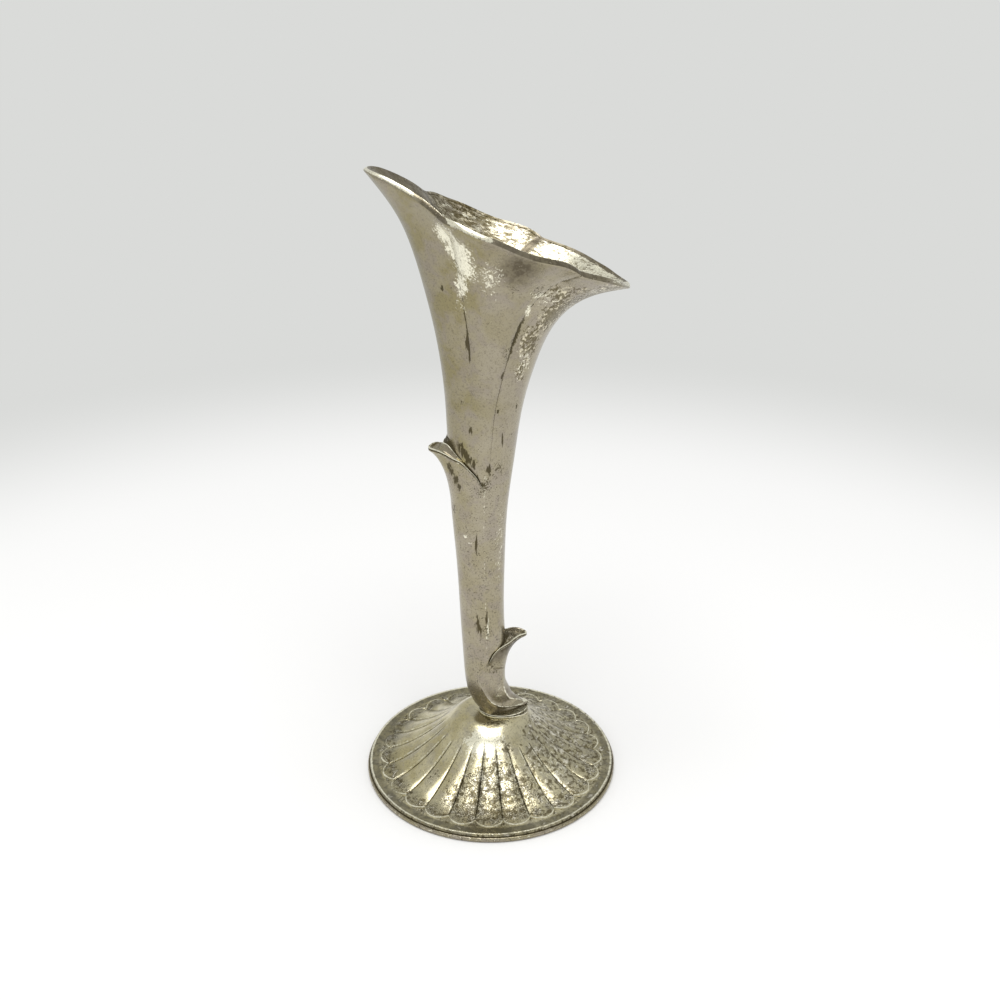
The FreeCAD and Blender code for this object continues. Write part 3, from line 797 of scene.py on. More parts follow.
    def heel(self, rings: np.ndarray, bearing: np.ndarray, sole: np.ndarray) -> np.ndarray:
        """Raises the edges of the heel and cuts it under at its sole.

        Args:
            rings: Points of the plain outlines.
            bearing: Degrees from the toe, for each column.
            sole: Height of the sole's edge, for each column.

        Returns:
            The new points.
        """
        turn = np.radians(bearing)
        out = np.stack([np.cos(turn), np.sin(turn), 0 * turn], axis=-1)
        height = rings[..., 2]
        off = np.abs(bearing)
        above = height - sole
        reach = np.where(above > 0, self.sole_reach, self.sole_reach_below)
        ridge = np.interp(off, *zip(*SOLE_RIDGE)) * np.exp(-np.abs(above) / reach)
        toward_toe = np.clip(1.3 - off / 90, 0, 1)
        under = np.clip(-above / self.sole_cut_run, 0, 1) * toward_toe * self.sole_cut
        edge = np.interp(height, *zip(*SADDLE_EDGE))
        away = np.radians(off - edge) * np.linalg.norm(rings[..., :2], axis=-1)
        fade = smooth_step((self.saddle_to - height) / 4) * smooth_step(
            (height - self.saddle_from) / 1.2)
        cheek = self.cheek_share * (away < 0) * (1 - np.exp(-np.abs(away) / self.cheek_reach))
        saddle = self.saddle_ridge * fade * (np.exp(-np.abs(away) / self.saddle_reach) - cheek)
        return rings + (ridge - under + saddle)[..., None] * out

    def build(self) -> Any:
        """Makes the trumpet.

        Returns:
            The piece.
        """
        low, high = self.stations[0].height, self.stations[-1].height
        count = len(self.columns()[0])
        plain = self.outlines(np.full((1, count), self.heel_outline))[0][0]
        bearing = np.degrees(np.arctan2(plain[:, 1], plain[:, 0] - self.stations[0].centre))
        sole = np.interp(np.abs(bearing), *zip(*SOLE_EDGE))
        rise = np.linspace(0, 1, self.heel_rows, endpoint=False) ** 1.25
        even = np.linspace(0, 1, self.outer_rows)
        climb = 0.75 * even + 0.25 * np.sin(even * math.pi / 2)
        upper = self.heel_top + (high - self.heel_top) * climb
        heights = np.concatenate([
            low + (sole - low) * np.linspace(0, 1, self.undercut_rows, endpoint=False)[:, None],
            sole + (self.heel_top - sole) * rise[:, None],
            np.repeat(upper[:, None], count, axis=1),
        ])
        outer, to_edge = self.outlines(heights)
        outer = self.heel(outer, bearing, sole)
        descent = np.linspace(0, 1, self.inner_rows) ** 1.6
        inner_heights = high - (high - self.cavity_floor) * descent
        inner_grid = np.repeat(inner_heights[:, None], count, axis=1)
        inner, inner_edge = self.outlines(inner_grid)
        inner = inner[::-1]
        inner = (inner - self.wall * self.normals(inner))[::-1]
        line = self.rim_line(outer[-1])
        face = self.rim_face(line)
        outer = self.reach_rim(outer, heights, line + face)
        inner = self.reach_rim(inner[::-1], inner_grid[::-1], line)[::-1]
        up = unit(np.cross(np.roll(line, -1, axis=0) - np.roll(line, 1, axis=0), -face))
        rim = np.array([
            line + (1 - share) * face
            + self.rim_crown * math.sqrt(1 - (2 * share - 1) ** 2) * up
            for share in RIM_SHARES
        ])
        rings = np.concatenate([outer, rim, inner])
        edges = np.concatenate([to_edge, np.repeat(to_edge[-1:], len(rim), axis=0), inner_edge])
        across_rim = 0.3 + 0.4 * np.array(RIM_SHARES)[:, None]
        inside = np.concatenate([
            np.zeros(outer.shape[:2]), np.repeat(across_rim, count, axis=1),
            np.ones(inner.shape[:2]),
        ])
        piece = skin("trumpet", rings, Ends.POLES, self.wear(rings, edges, inside, bearing, sole))
        piece.data.materials.append(self.finish)
        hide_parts("trumpet_body")
        return piece

    def reach_rim(self, rings: np.ndarray, heights: np.ndarray, edge: np.ndarray) -> np.ndarray:
        """Bends rising rings so that the last one lies on an edge of the rim.

        Args:
            rings: Points of the rings.
            heights: Heights of their centres.
            edge: The edge's points, one for each column.

        Returns:
            The new points.
        """
        run = self.stations[-1].height - self.rim_from
        share = np.clip((heights - self.rim_from) / run, 0, 1)
        return rings + (edge - rings[-1]) * (share ** self.rim_fade)[..., None]

    def wear(
        self, rings: np.ndarray, edges: np.ndarray, inside: np.ndarray, bearing: np.ndarray,
        sole: np.ndarray,
    ) -> dict[str, np.ndarray]:
        """Where the plate is worn, crusted and stained, and where highlights and shade are painted
        on it.

        Args:
            rings: Points of the skin.
            edges: Distance of each to the nearest petal edge.
            inside: 0 on the outer face, 1 on the inner face, and between them on the rim.
            bearing: Degrees from the toe, for each column.
            sole: Height of the sole's edge, for each column.

        Returns:
            The attributes that the finish reads.
        """
        mouth = rings[np.argmax(inside[:, 0] > 0.99)]
        outer = self.outer_wear(rings, edges, bearing, sole)
        inner = self.inner_wear(rings, edges, np.linalg.norm(rings - mouth, axis=-1))
        rim = self.rim_wear(rings, inside)
        return {
            layer: np.where(inside < 0.2, outer[layer], np.where(
                inside > 0.8, inner[layer], rim[layer]))
            for layer in MASKS
        }

    def outer_wear(
        self, rings: np.ndarray, edges: np.ndarray, bearing: np.ndarray, sole: np.ndarray,
    ) -> dict[str, Any]:
        """The wear of the outer face, with painted highlights along its edges and painted shade
        below the sole's edge.

        Args:
            rings: Points of the skin.
            edges: Distance of each to the nearest petal edge.
            bearing: Degrees from the toe, for each column.
            sole: Height of the sole's edge, for each column.

        Returns:
            The attributes that the finish reads.
        """
        x, y, z = (rings[..., axis] for axis in range(3))
        off = np.abs(bearing)
        heel = z < self.heel_wear_top
        saddle = off - np.interp(z, *zip(*SADDLE_EDGE))
        # The arris, sole and saddle lines are painted highlights where those edges catch the light.
        arris_line = np.clip(1 - np.abs(off - 90) / 3.2, 0, 1) * (y < 0) * (z < 100)
        sole_line = np.exp(-((z - sole - 0.15) / 0.22) ** 2) * (off < 100)
        saddle_line = np.exp(-(saddle / 3.5) ** 2) * smooth_step((31 - z) / 3)
        worn_and_highlight = np.maximum(blobs(rings, WORN_AND_HIGHLIGHT_SPOTS), 0.6 * arris_line * smooth_step((z - 34) / 6))
        worn_and_highlight = np.maximum(worn_and_highlight, heel * np.maximum(0.9 * sole_line, 0.95 * saddle_line))

        fold_width = 0.6 + 0.5 * blobs(rings, WIDE_FOLD)
        fold = np.clip(1 - edges / fold_width, 0, 1) * smooth_step((z - 126) / 8)
        fold = fold * (0.62 + 0.8 * blobs(rings, DARK_FOLDS))

        # Below the sole's edge the plate is painted darker, a painted shade in the undercut.
        dusk_and_shade = np.maximum(blobs(rings, TUBE_SHADOWS), 0.4 * (z < sole - 0.1))
        dusk_and_shade = np.maximum(dusk_and_shade, 0.55 * heel * (saddle < -3) * smooth_step((31 - z) / 4))
        dusk_and_shade = np.maximum(dusk_and_shade, 0.15 * smooth_step((z - 106) / 16) * smooth_step((9 - x) / 5))
        return {
            "worn_and_highlight": worn_and_highlight, "crust": np.maximum(blobs(rings, CRUST_SPOTS), LEAST_CRUST),
            "pits": np.maximum(blobs(rings, PIT_SPOTS), tube_pits(rings)),
            "stain_and_shade": np.maximum(blobs(rings, STEM_STAINS), fold), "dusk_and_shade": dusk_and_shade,
            "olive": tube_olive(rings), "streak": 0.0,
        }

    def inner_wear(
        self, rings: np.ndarray, edges: np.ndarray, below: np.ndarray,
    ) -> dict[str, Any]:
        """The wear inside the mouth: streaked, dark in the high petal and along the back's edge,
        and painted lighter toward the low side as a painted highlight; the dark lines along the
        back's edge are painted reflections.

        Args:
            rings: Points of the skin.
            edges: Distance of each to the nearest petal edge.
            below: Distance of each to the rim.

        Returns:
            The attributes that the finish reads.
        """
        x, y, z = (rings[..., axis] for axis in range(3))
        behind = y >= 0
        # bright is a painted highlight: the plate inside is painted lighter toward the low side,
        # where the lamp's highlight lies.
        bright, low_end = smooth_step((x + 4) / 16), smooth_step((x - 15) / 5)
        worn_and_highlight = 0.5 + 0.17 * smooth_step((x + 2) / 10) + 0.17 * smooth_step((x - 17) / 6)
        crust = 1.0 - 0.16 * bright - 0.14 * low_end
        dusk_and_shade = 0.30 * (1 - bright)
        high_petal = smooth_step((-11.2 - x) / 4.5)
        worn_and_highlight = worn_and_highlight + (0.3 - worn_and_highlight) * high_petal
        dusk_and_shade = dusk_and_shade + (0.8 - dusk_and_shade) * high_petal
        crust = crust + (0.55 - crust) * high_petal

        # The two dark lines along the back's edge are painted reflections, and low_shade is painted
        # shade at the back's low side.
        upper_line = np.exp(-((below - 0.85) / 0.24) ** 2)
        lower_line = 0.85 * (x > 0) * (x < 15) * np.exp(-((below - 2.4) / 0.28) ** 2)
        lines = behind * (upper_line + lower_line)
        low_shade = smooth_step((x - 16) / 5) * smooth_step((2.4 - below) / 0.8)
        dusk_and_shade = np.maximum(np.maximum(dusk_and_shade, 1.2 * lines), behind * 0.95 * low_shade)
        worn_and_highlight = np.where(behind & (below < 1.1), 0.2, worn_and_highlight)

        # Along the back crease the plate is painted darker, with neither crust nor bare plate.
        back_crease = behind & (z > 146)
        creased = back_crease & (edges < 0.8)
        return {
            "worn_and_highlight": np.where(creased, 0.0, worn_and_highlight), "crust": np.where(creased, 0.0, crust),
            "pits": 0.5 - 0.1 * low_end,
            "stain_and_shade": np.maximum(blobs(rings, MOUTH_STAINS), 0.85 * lines),
            "dusk_and_shade": np.maximum(dusk_and_shade, 1.3 * back_crease * np.clip(1.3 - edges / 0.9, 0, 1)),
            "olive": 0.15, "streak": 1.0,
        }

    def rim_wear(self, rings: np.ndarray, inside: np.ndarray) -> dict[str, Any]:
        """The wear of the rim's face, with painted highlights along it.

        Args:
            rings: Points of the skin.
            inside: How far each is across the rim, from 0.3 at its outer edge to 0.7.

        Returns:
            The attributes that the finish reads.
        """
        x, front = rings[..., 0], rings[..., 1] < 0
        dark, light = (np.interp(x, *zip(*line)) for line in (DARK_RIM, LIGHT_RIM))
        bare_and_highlight = np.maximum(light * (0.45 + 0.55 * (inside > 0.42)), 0.85 * dark * (inside > 0.66))
        # Round the back, the rim's top edge carries a painted glint.
        return {
            "worn_and_highlight": np.where(front, bare_and_highlight, 0.9), "crust": 0.5, "pits": 0.4, "stain_and_shade": 0.0,
            "dusk_and_shade": np.where(front, dark, 0.35), "olive": 0.15, "streak": 0.0,
        }


# Along the front of the rim: how dusky the plate is, and how bright, as a painted highlight.
DARK_RIM = (
    (-19.5, 0.0), (-18.5, 0.9), (-13.5, 0.9), (-12.5, 0.1), (-4.0, 0.1), (-2.0, 0.95),
    (17.5, 0.95), (18.5, 0.8), (25.0, 0.8), (27.0, 0.1),
)
LIGHT_RIM = (
    (-30.0, 1.0), (-20.5, 0.9), (-19.5, 0.2), (-13.8, 0.2), (-12.8, 1.7), (-4.5, 1.7),
    (-3.0, 0.0), (25.0, 0.0), (27.0, 0.6), (35.0, 0.8),
)

# Spots on the tube: the centre, the reach along each axis and the strength. First, on the outer
# face, where the plate is bare and bright, with painted highlights on the low petal's crust among
# them, where a crust breaks it, where it is pitted, and its olive-brown stains.
WORN_AND_HIGHLIGHT_SPOTS = (
    ((-12.6, -16.8, 165.6), (6.5, 10.0, 7.0), 1.2), ((-9.8, -17.6, 162.0), (7.5, 10.0, 8.5), 1.3),
    ((-8.2, -17.0, 158.0), (5.5, 9.0, 8.0), 1.15), ((-9.2, -14.0, 152.5), (3.0, 7.0, 9.0), 1.0),
    ((-3.0, -20.4, 156.5), (8.0, 9.0, 12.0), 0.7), ((-9.5, -14.0, 146.0), (5.0, 8.0, 14.0), 0.6),
    # The two spots below are painted highlights on the low petal's crust.
    ((13.0, -15.0, 150.0), (9.0, 8.0, 8.0), 0.75), ((27.0, -12.0, 150.0), (12.0, 10.0, 5.0), 0.85),
    ((7.0, -15.0, 146.4), (1.7, 5.0, 4.6), 1.15), ((8.5, -17.0, 150.5), (6.0, 6.0, 4.0), 0.75),
    ((-7.9, -5.5, 80.5), (1.4, 4.0, 1.5), 1.0), ((-6.6, -6.2, 78.6), (1.3, 4.0, 1.3), 0.95),
    ((-1.8, -6.7, 50.5), (1.0, 4.0, 9.0), 0.85),
    ((7.0, -10.0, 131.0), (5.5, 7.0, 15.0), 0.66), ((2.5, -6.5, 75.0), (5.0, 6.0, 30.0), 0.64),
    ((1.5, -5.4, 27.5), (4.5, 5.0, 7.0), 0.58),
)
CRUST_SPOTS = (
    ((26.0, -8.0, 148.0), (20.0, 16.0, 13.0), 1.5), ((15.0, -12.0, 143.5), (11.0, 11.0, 15.0), 1.5),
    ((28.0, -15.0, 150.0), (14.0, 10.0, 8.0), 1.25), ((15.0, -17.0, 149.0), (9.0, 8.0, 9.0), 1.15),
    ((8.8, -12.0, 136.0), (6.5, 9.0, 15.0), 1.35), ((6.5, -10.5, 128.5), (4.5, 8.0, 9.0), 1.1),
    ((13.0, -16.3, 152.3), (6.0, 6.0, 4.5), 1.4), ((20.0, -14.5, 151.5), (8.5, 7.0, 5.0), 1.5),
    ((27.0, -12.0, 151.0), (7.0, 7.0, 4.0), 1.3),
    ((18.0, 12.0, 146.0), (16.0, 14.0, 22.0), 1.1), ((-8.0, 10.0, 128.0), (12.0, 12.0, 22.0), 0.85),
    ((-4.0, 7.0, 60.0), (8.0, 8.0, 26.0), 0.75),
)
PIT_SPOTS = (
    ((-3.0, -8.0, 96.0), (7.5, 7.0, 8.0), 0.7), ((1.0, -8.0, 100.5), (8.0, 7.0, 9.0), 0.62),
    ((-2.0, -6.5, 50.0), (7.0, 8.0, 16.0), 0.6), ((0.5, -6.0, 37.0), (4.0, 7.0, 7.0), 0.68),
    ((2.5, -19.0, 153.5), (6.0, 8.0, 6.0), 0.7), ((9.0, -18.0, 152.0), (5.0, 8.0, 6.0), 0.72),
    ((2.0, -12.0, 136.0), (4.0, 6.0, 12.0), 0.68), ((20.0, -12.0, 147.0), (16.0, 12.0, 12.0), 0.7),
    ((-7.0, -5.0, 27.0), (6.0, 6.0, 7.0), 0.6),
)
STEM_STAINS = (
    ((-7.4, -10.2, 136.2), (1.3, 5.0, 4.8), 1.0), ((-8.6, -7.2, 119.9), (0.8, 4.0, 1.8), 1.15),
    ((-6.4, -8.0, 112.5), (0.9, 4.0, 2.0), 1.25), ((5.9, -7.1, 117.3), (0.5, 4.0, 3.8), 1.3),
    ((2.1, -8.1, 109.2), (0.6, 4.0, 4.0), 1.35), ((0.6, -9.4, 117.6), (1.1, 4.0, 1.0), 1.2),
    ((1.3, -11.7, 128.1), (0.9, 4.0, 3.0), 1.2), ((-3.2, -19.0, 154.9), (1.1, 4.0, 0.9), 1.25),
    ((-0.9, -19.6, 154.5), (0.8, 4.0, 0.9), 1.25), ((7.7, -17.5, 150.9), (1.2, 4.0, 0.9), 1.2),
    ((-13.3, -9.2, 150.7), (0.8, 4.0, 1.5), 1.25), ((2.2, -18.8, 151.4), (0.7, 4.0, 1.0), 1.2),
    ((-9.2, -6.1, 107.2), (1.8, 4.0, 2.4), 1.25), ((-8.5, -6.5, 105.9), (2.0, 4.0, 2.4), 1.35),
    ((-7.6, -7.0, 104.8), (2.0, 4.0, 2.4), 1.35), ((-6.7, -7.5, 103.7), (1.8, 4.0, 2.4), 1.3),
    ((-5.8, -7.8, 102.4), (1.4, 4.0, 2.2), 1.2),
    ((-11.6, -2.7, 101.0), (1.8, 4.0, 3.0), 1.15), ((-11.0, -3.4, 99.3), (1.8, 4.0, 3.0), 1.25),
    ((-10.2, -4.2, 97.4), (1.7, 4.0, 3.0), 1.25), ((-9.4, -5.0, 95.3), (1.2, 4.0, 2.8), 1.15),
    ((-3.2, -8.4, 96.6), (1.4, 4.0, 1.6), 1.1), ((-1.7, -8.6, 101.0), (1.5, 4.0, 3.3), 1.3),
    ((-5.0, -7.0, 78.6), (0.6, 4.0, 6.2), 1.35), ((-4.8, -6.2, 52.5), (1.6, 4.0, 6.5), 1.1),
    ((-3.9, -6.4, 50.0), (0.9, 4.0, 5.5), 0.95), ((-2.2, -6.7, 54.2), (0.6, 4.0, 6.5), 1.1),
    ((-0.6, -6.1, 37.6), (1.4, 4.0, 1.6), 0.8), ((-11.0, -3.0, 87.0), (1.2, 4.0, 5.0), 0.95),
    ((3.0, -6.8, 88.0), (0.6, 4.0, 5.0), 0.9),
)
# Then where a fold's dark line is wide, where it is darkest, and where the face lies in shadow.
WIDE_FOLD = (((4.8, -13.0, 139.0), (5.0, 7.0, 9.0), 1.0),)
DARK_FOLDS = (
    ((4.5, -12.5, 138.5), (8.0, 8.0, 10.0), 1.0), ((-7.5, -10.0, 135.5), (5.0, 6.0, 7.0), 1.0),
)
TUBE_SHADOWS = (
    ((3.2, -22.0, 158.6), (8.2, 11.0, 8.8), 1.35), ((-5.5, -4.5, 25.5), (6.0, 6.0, 5.5), 0.55),
)
# Last, the stain inside the mouth.
MOUTH_STAINS = (((-2.0, 24.0, 164.0), (7.0, 8.0, 5.0), 0.9),)

# The thin crust that the tube and the leaves have everywhere.
LEAST_CRUST = 0.34


def tube_olive(points: np.ndarray) -> np.ndarray:
    """How olive the tube's plate is: most on the high side of the trumpet."""
    x, z = points[..., 0], points[..., 2]
    return 0.75 * smooth_step((-x - 1.0) / 9.0) * smooth_step((z - 84) / 30)


def tube_pits(points: np.ndarray) -> np.ndarray:
    """How pitted the tube's plate is: finely all along the stem, less on the trumpet."""
    return 0.36 + 0.12 * smooth_step((116 - points[..., 2]) / 20)


# Round the flange's upper edge: how far in from the edge and how far above the flange.
FLANGE_EDGE = ((0.55, 0.05), (0.36, 0.13), (0.2, 0.13), (0.07, 0.06), (0.0, -0.1))

# Spots on the foot: where the front is crusted, the stains with a painted shadow at the collar's
# foot, the dusky sides, and the gleam, a painted highlight.
FOOT_FRONT = (((-4.0, -25.0, 7.0), (31.0, 20.0, 20.0), 1.5),)
FOOT_STAINS_AND_SHADOW = (
    # The first spot is a painted shadow at the collar's foot.
    ((0.5, -7.6, 18.9), (9.0, 2.2, 2.5), 0.95), ((-9.0, -24.0, 8.0), (4.0, 4.0, 6.0), 0.9),
    ((-20.0, -14.0, 8.0), (5.0, 4.0, 6.0), 0.75), ((2.5, -14.5, 15.0), (4.0, 4.0, 5.0), 0.9),
)
FOOT_GREY = (
    ((-31.0, 16.0, 3.0), (16.0, 16.0, 8.0), 1.0), ((-33.0, -14.0, 4.0), (7.0, 9.0, 6.0), 0.9),
    ((0.0, 36.0, 3.0), (30.0, 12.0, 8.0), 0.8),
)
FOOT_GLEAM = (
    ((-5.0, -12.5, 16.0), (14.0, 9.0, 9.0), 1.2), ((-3.0, -22.0, 9.0), (26.0, 13.0, 12.0), 0.76),
    ((17.0, -16.0, 8.0), (18.0, 18.0, 16.0), 0.6),
)


@dataclass
class Foot:
    """The stamped foot: a domed sheet with gadroons and a flat flange."""

    finish: Any
    lobes: int = 25
    first_cusp: float = math.radians(-165.4)
    hole: float = 2.1
    crown: float = 19.0
    crown_flat: float = 6.8
    crown_radius: float = 9.5
    crown_blend: float = 3.0
    steepness: float = 1.6
    cusp_radius: float = 32.2
    tip_radius: float = 34.4
    fade_from: float = 12.5
    fade_to: float = 26.0
    groove_start: float = 3.5
    lobe_rise: float = 0.9
    groove_share: float = 0.4
    outline_width: float = 0.62
    outline_rise: float = 0.3
    flange: float = 2.4
    flange_edge: float = 37.4
    rounded_edge: float = 0.75
    wire_top: float = 1.5
    sheet: float = 0.9
    weld: float = 0.004
    across_columns: int = 26
    lobe_rows: int = 66

    def dome(self, radius: np.ndarray | float) -> np.ndarray:
        """Finds the height of the sheet's upper face in the grooves.

        Args:
            radius: Places, from the foot's centre.

        Returns:
            The heights there.
        """
        rise = self.crown - self.flange
        span = self.cusp_radius - self.crown_radius
        slope = rise * (np.maximum(self.cusp_radius - radius, 0) / span) ** self.steepness
        overlap = np.maximum(self.crown_blend - np.abs(slope - rise), 0) / self.crown_blend
        return self.flange + np.minimum(slope, rise) - overlap ** 2 * self.crown_blend / 4

    def lobe_swell(self, radius: np.ndarray, end: np.ndarray, roundness: np.ndarray) -> np.ndarray:
        """How far a gadroon and its raised outline stand above the dome.

        Args:
            radius: Places along the gadroon.
            end: Where the gadroon ends, across it.
            roundness: How far it swells across, 0 in the grooves and 1 on the ridge.

        Returns:
            The heights above the dome.
        """
        start = smooth_step((radius - self.fade_from) / self.groove_start)
        fade = self.groove_share * start + (1 - self.groove_share) * smooth_step(
            (radius - self.fade_from) / (self.fade_to - self.fade_from))
        inner = end - radius
        fall = np.clip(1 - inner / 3.2, 0, 1)
        lower = 0.6 + 0.4 * smooth_step(inner / 9)
        swell = self.lobe_rise * fade * lower * roundness ** 0.5 * np.sqrt(1 - fall ** 2)
        to_line = 1 - np.abs(inner - self.outline_width / 2) / (self.outline_width / 2)
        return np.maximum(swell, self.outline_rise * smooth_step(to_line * 1.4))

    def section(self, across: np.ndarray) -> list[tuple[np.ndarray, np.ndarray, np.ndarray]]:
        """The wedge's rows, from the hole over the top to the edge and back beneath.

        Args:
            across: Places across one gadroon, from -1 to 1.

        Returns:
            For each row its radii, its heights and how far it belongs to the raised outline.
        """
        roundness = 1 - across ** 2
        end = self.cusp_radius + (self.tip_radius - self.cusp_radius) * roundness
        rows = [(radius, self.crown) for radius in (self.hole, self.crown_flat * 0.7)]
        for share in 1 - (1 - np.linspace(0, 1, self.lobe_rows)) ** 1.35:
            radius = self.crown_flat + share * (end - self.crown_flat)
            rows.append((radius, self.dome(radius) + self.lobe_swell(radius, end, roundness)))
        for share in np.linspace(0.04, 1, 7):
            rows.append((end + share * (self.flange_edge - self.rounded_edge - end), self.flange))
        rows += [(self.flange_edge - inset, self.flange + rise) for inset, rise in FLANGE_EDGE]
        rows += [(self.flange_edge, self.wire_top), (self.cusp_radius + 0.5, self.wire_top)]
        for share in np.linspace(1, 0, 22):
            radius = self.crown_flat + share * (self.cusp_radius - self.crown_flat)
            rows.append((radius, self.dome(radius) - self.sheet))
        rows.append((self.hole, self.crown - self.sheet))
        return [
            (radius, height, np.exp(-((end - radius - 0.3) / 0.25) ** 2))
            for radius, height in (np.broadcast_arrays(*row, across)[:2] for row in rows)
        ]

    def wedge(self) -> Any:
        """Makes the part of the sheet between two grooves.

        Returns:
            An object with one gadroon, its piece of flange and the underside.
        """
        even = np.linspace(-1, 1, self.across_columns + 1)
        across = 0.6 * np.sin(even * math.pi / 2) + 0.4 * even
        rows = self.section(across)
        turn = self.first_cusp + math.pi / self.lobes
        angles = turn + across * math.pi / self.lobes
        grid = np.array([
            np.stack([radius * np.cos(angles), radius * np.sin(angles), height], axis=-1)
            for radius, height, _ in rows
        ])
        count, columns = grid.shape[:2]
        faces = []
        for i in range(count):
            this, following = i * columns, ((i + 1) % count) * columns
            for j in range(columns - 1):
                faces.append((this + j, following + j, following + j + 1, this + j + 1))
        points = grid.reshape(-1, 3)
        from_groove = np.tile((1 - np.abs(across)) * math.pi / self.lobes, count)
        return make_mesh("gadroon", points, faces, {
            "groove": from_groove * np.hypot(points[:, 0], points[:, 1]),
            "side": np.tile(across, count),
            "outline": np.concatenate([line for _, _, line in rows]),
        })

    def ring_tree(self) -> tuple[Any, dict[str, str]]:
        """Builds the node tree that repeats the wedge round the foot.

        Returns:
            The tree, and the identifiers of its inputs by name.
        """
        tree = bpy.data.node_groups.new("gadroons_round_the_foot", "GeometryNodeTree")
        face = tree.interface
        names = {}
        face.new_socket(name="Geometry", in_out="OUTPUT", socket_type="NodeSocketGeometry")
        face.new_socket(name="Geometry", in_out="INPUT", socket_type="NodeSocketGeometry")
        for name, kind in (
            ("Count", "Int"), ("Turn", "Float"), ("Weld", "Float"), ("Finish", "Material"),
        ):
            names[name] = face.new_socket(
                name=name, in_out="INPUT", socket_type="NodeSocket" + kind).identifier
        source = add_node(tree, "NodeGroupInput").outputs
        line = add_node(
            tree, "GeometryNodeMeshLine", {"Offset": (0, 0, 0)}, {"Count": source["Count"]})
        index = add_node(tree, "GeometryNodeInputIndex")
        turn = add_node(
            tree, "ShaderNodeMath", {"operation": "MULTIPLY"},
            {0: index.outputs[0], 1: source["Turn"]})
        euler = add_node(tree, "ShaderNodeCombineXYZ", {}, {"Z": turn.outputs[0]})
        rotation = add_node(tree, "FunctionNodeEulerToRotation", {}, {0: euler.outputs[0]})
        copies = add_node(tree, "GeometryNodeInstanceOnPoints", {}, {
            "Points": line.outputs[0], "Instance": source["Geometry"],
            "Rotation": rotation.outputs[0],
        })
        real = add_node(tree, "GeometryNodeRealizeInstances", {}, {0: copies.outputs[0]})
        welded = add_node(tree, "GeometryNodeMergeByDistance", {}, {
            "Geometry": real.outputs[0], "Distance": source["Weld"],
        })
        finished = add_node(tree, "GeometryNodeSetMaterial", {}, {
            "Geometry": welded.outputs[0], "Material": source["Finish"],
        })
        add_node(tree, "NodeGroupOutput", {}, {0: finished.outputs[0]})
        return tree, names

    def build(self) -> Any:
        """Makes the foot.

        Returns:
            The piece.
        """
        wedge = self.wedge()
        tree, names = self.ring_tree()
        modifier = wedge.modifiers.new("gadroons", "NODES")
        modifier.node_group = tree
        values = {
            "Count": self.lobes, "Turn": 2 * math.pi / self.lobes, "Weld": self.weld * MM,
            "Finish": self.finish,
        }
        for name, value in values.items():
            modifier[names[name]] = value
        piece = plain_copy(wedge, "foot")
        count = len(piece.data.vertices)
        flat = np.zeros(count * 3, np.float32)
        piece.data.vertices.foreach_get("co", flat)
        known = {}
        for layer in ("groove", "side", "outline"):
            known[layer] = np.zeros(count, np.float32)
            piece.data.attributes[layer].data.foreach_get("value", known[layer])
        for layer, values in self.wear(flat.reshape(-1, 3).astype(float) / MM, **known).items():
            attribute = piece.data.attributes.new(layer, "FLOAT", "POINT")
            attribute.data.foreach_set("value", values.astype(np.float32))
        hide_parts("foot_dome")
        return piece

    def wear(
        self, points: np.ndarray, groove: np.ndarray, side: np.ndarray, outline: np.ndarray,
    ) -> dict[str, np.ndarray]:
        """Where the foot's plate is worn, crusted and stained, and where highlights and a shadow
        are painted on it.

        Args:
            points: The foot's points.
            groove: Distance of each to the nearest groove.
            side: Place of each across its gadroon, from -1 to 1.
            outline: How far each belongs to the raised outline of a gadroon's end.

        Returns:
            The attributes that the finish reads.
        """
        radius = np.hypot(points[:, 0], points[:, 1])
        on_lobe = smooth_step((radius - 13.5) / 2.0) * (radius < 32.6)
        on_top = points[:, 2] > 2.3
        end_of_lobe = smooth_step((radius - 27.5) / 3.5) * (radius < 34.2) * (1 - outline)
        flange = smooth_step((radius - 34.3) / 0.4)
        right = smooth_step((points[:, 0] - 0.5) / 10) * smooth_step((radius - 8) / 5)
        front = np.minimum(blobs(points, FOOT_FRONT), 1.0)
        left_ends = end_of_lobe * smooth_step(-points[:, 0] / 12)
        crust = np.maximum(np.maximum(0.93 * right, 0.98 * front), 0.85 * end_of_lobe)
        crust = np.where(flange > 0.5, 0.5 + 0.2 * right, np.maximum(crust, 0.35)) * (1 - outline)
        pits = np.maximum(0.44 * right, 0.7 * front)
        pits = np.maximum(np.maximum(pits, 0.62 * end_of_lobe), 0.4) * (1 - outline)
        line = np.clip(1 - groove / 0.3, 0, 1) * on_lobe * smooth_step((31.8 - radius) / 1.2)
        # bright_edge is a painted highlight on the lit side of each groove.
        bright_edge = np.exp(-((groove - 0.52) / 0.2) ** 2) * on_lobe * (side > 0)
        grey = blobs(points, FOOT_GREY)
        dusk_and_shade = np.maximum(0.3 * end_of_lobe + 0.35 * left_ends, 0.86 * flange)
        dusk_and_shade = np.maximum(dusk_and_shade, grey * smooth_step((radius - 26) / 6))
        dusk_and_shade = np.maximum(dusk_and_shade, 0.5 * right * smooth_step((points[:, 1] + 24) / 14))
        dusk_and_shade = np.maximum(dusk_and_shade, 0.9 * line)
        # The raised outlines, the gleam and the bright line at the flange's edge are painted
        # highlights.
        worn_and_highlight = np.maximum(1.0 * outline * on_top * (1 - 0.5 * grey), 0.85 * bright_edge)
        worn_and_highlight = np.maximum(worn_and_highlight, blobs(points, FOOT_GLEAM) * (1 - 0.6 * end_of_lobe))
        worn_and_highlight = np.maximum(worn_and_highlight, 1.4 * np.exp(-((radius - 37.0) / 0.3) ** 2) * on_top)
        wall = (radius > 37.3) & (points[:, 2] < 2.35)
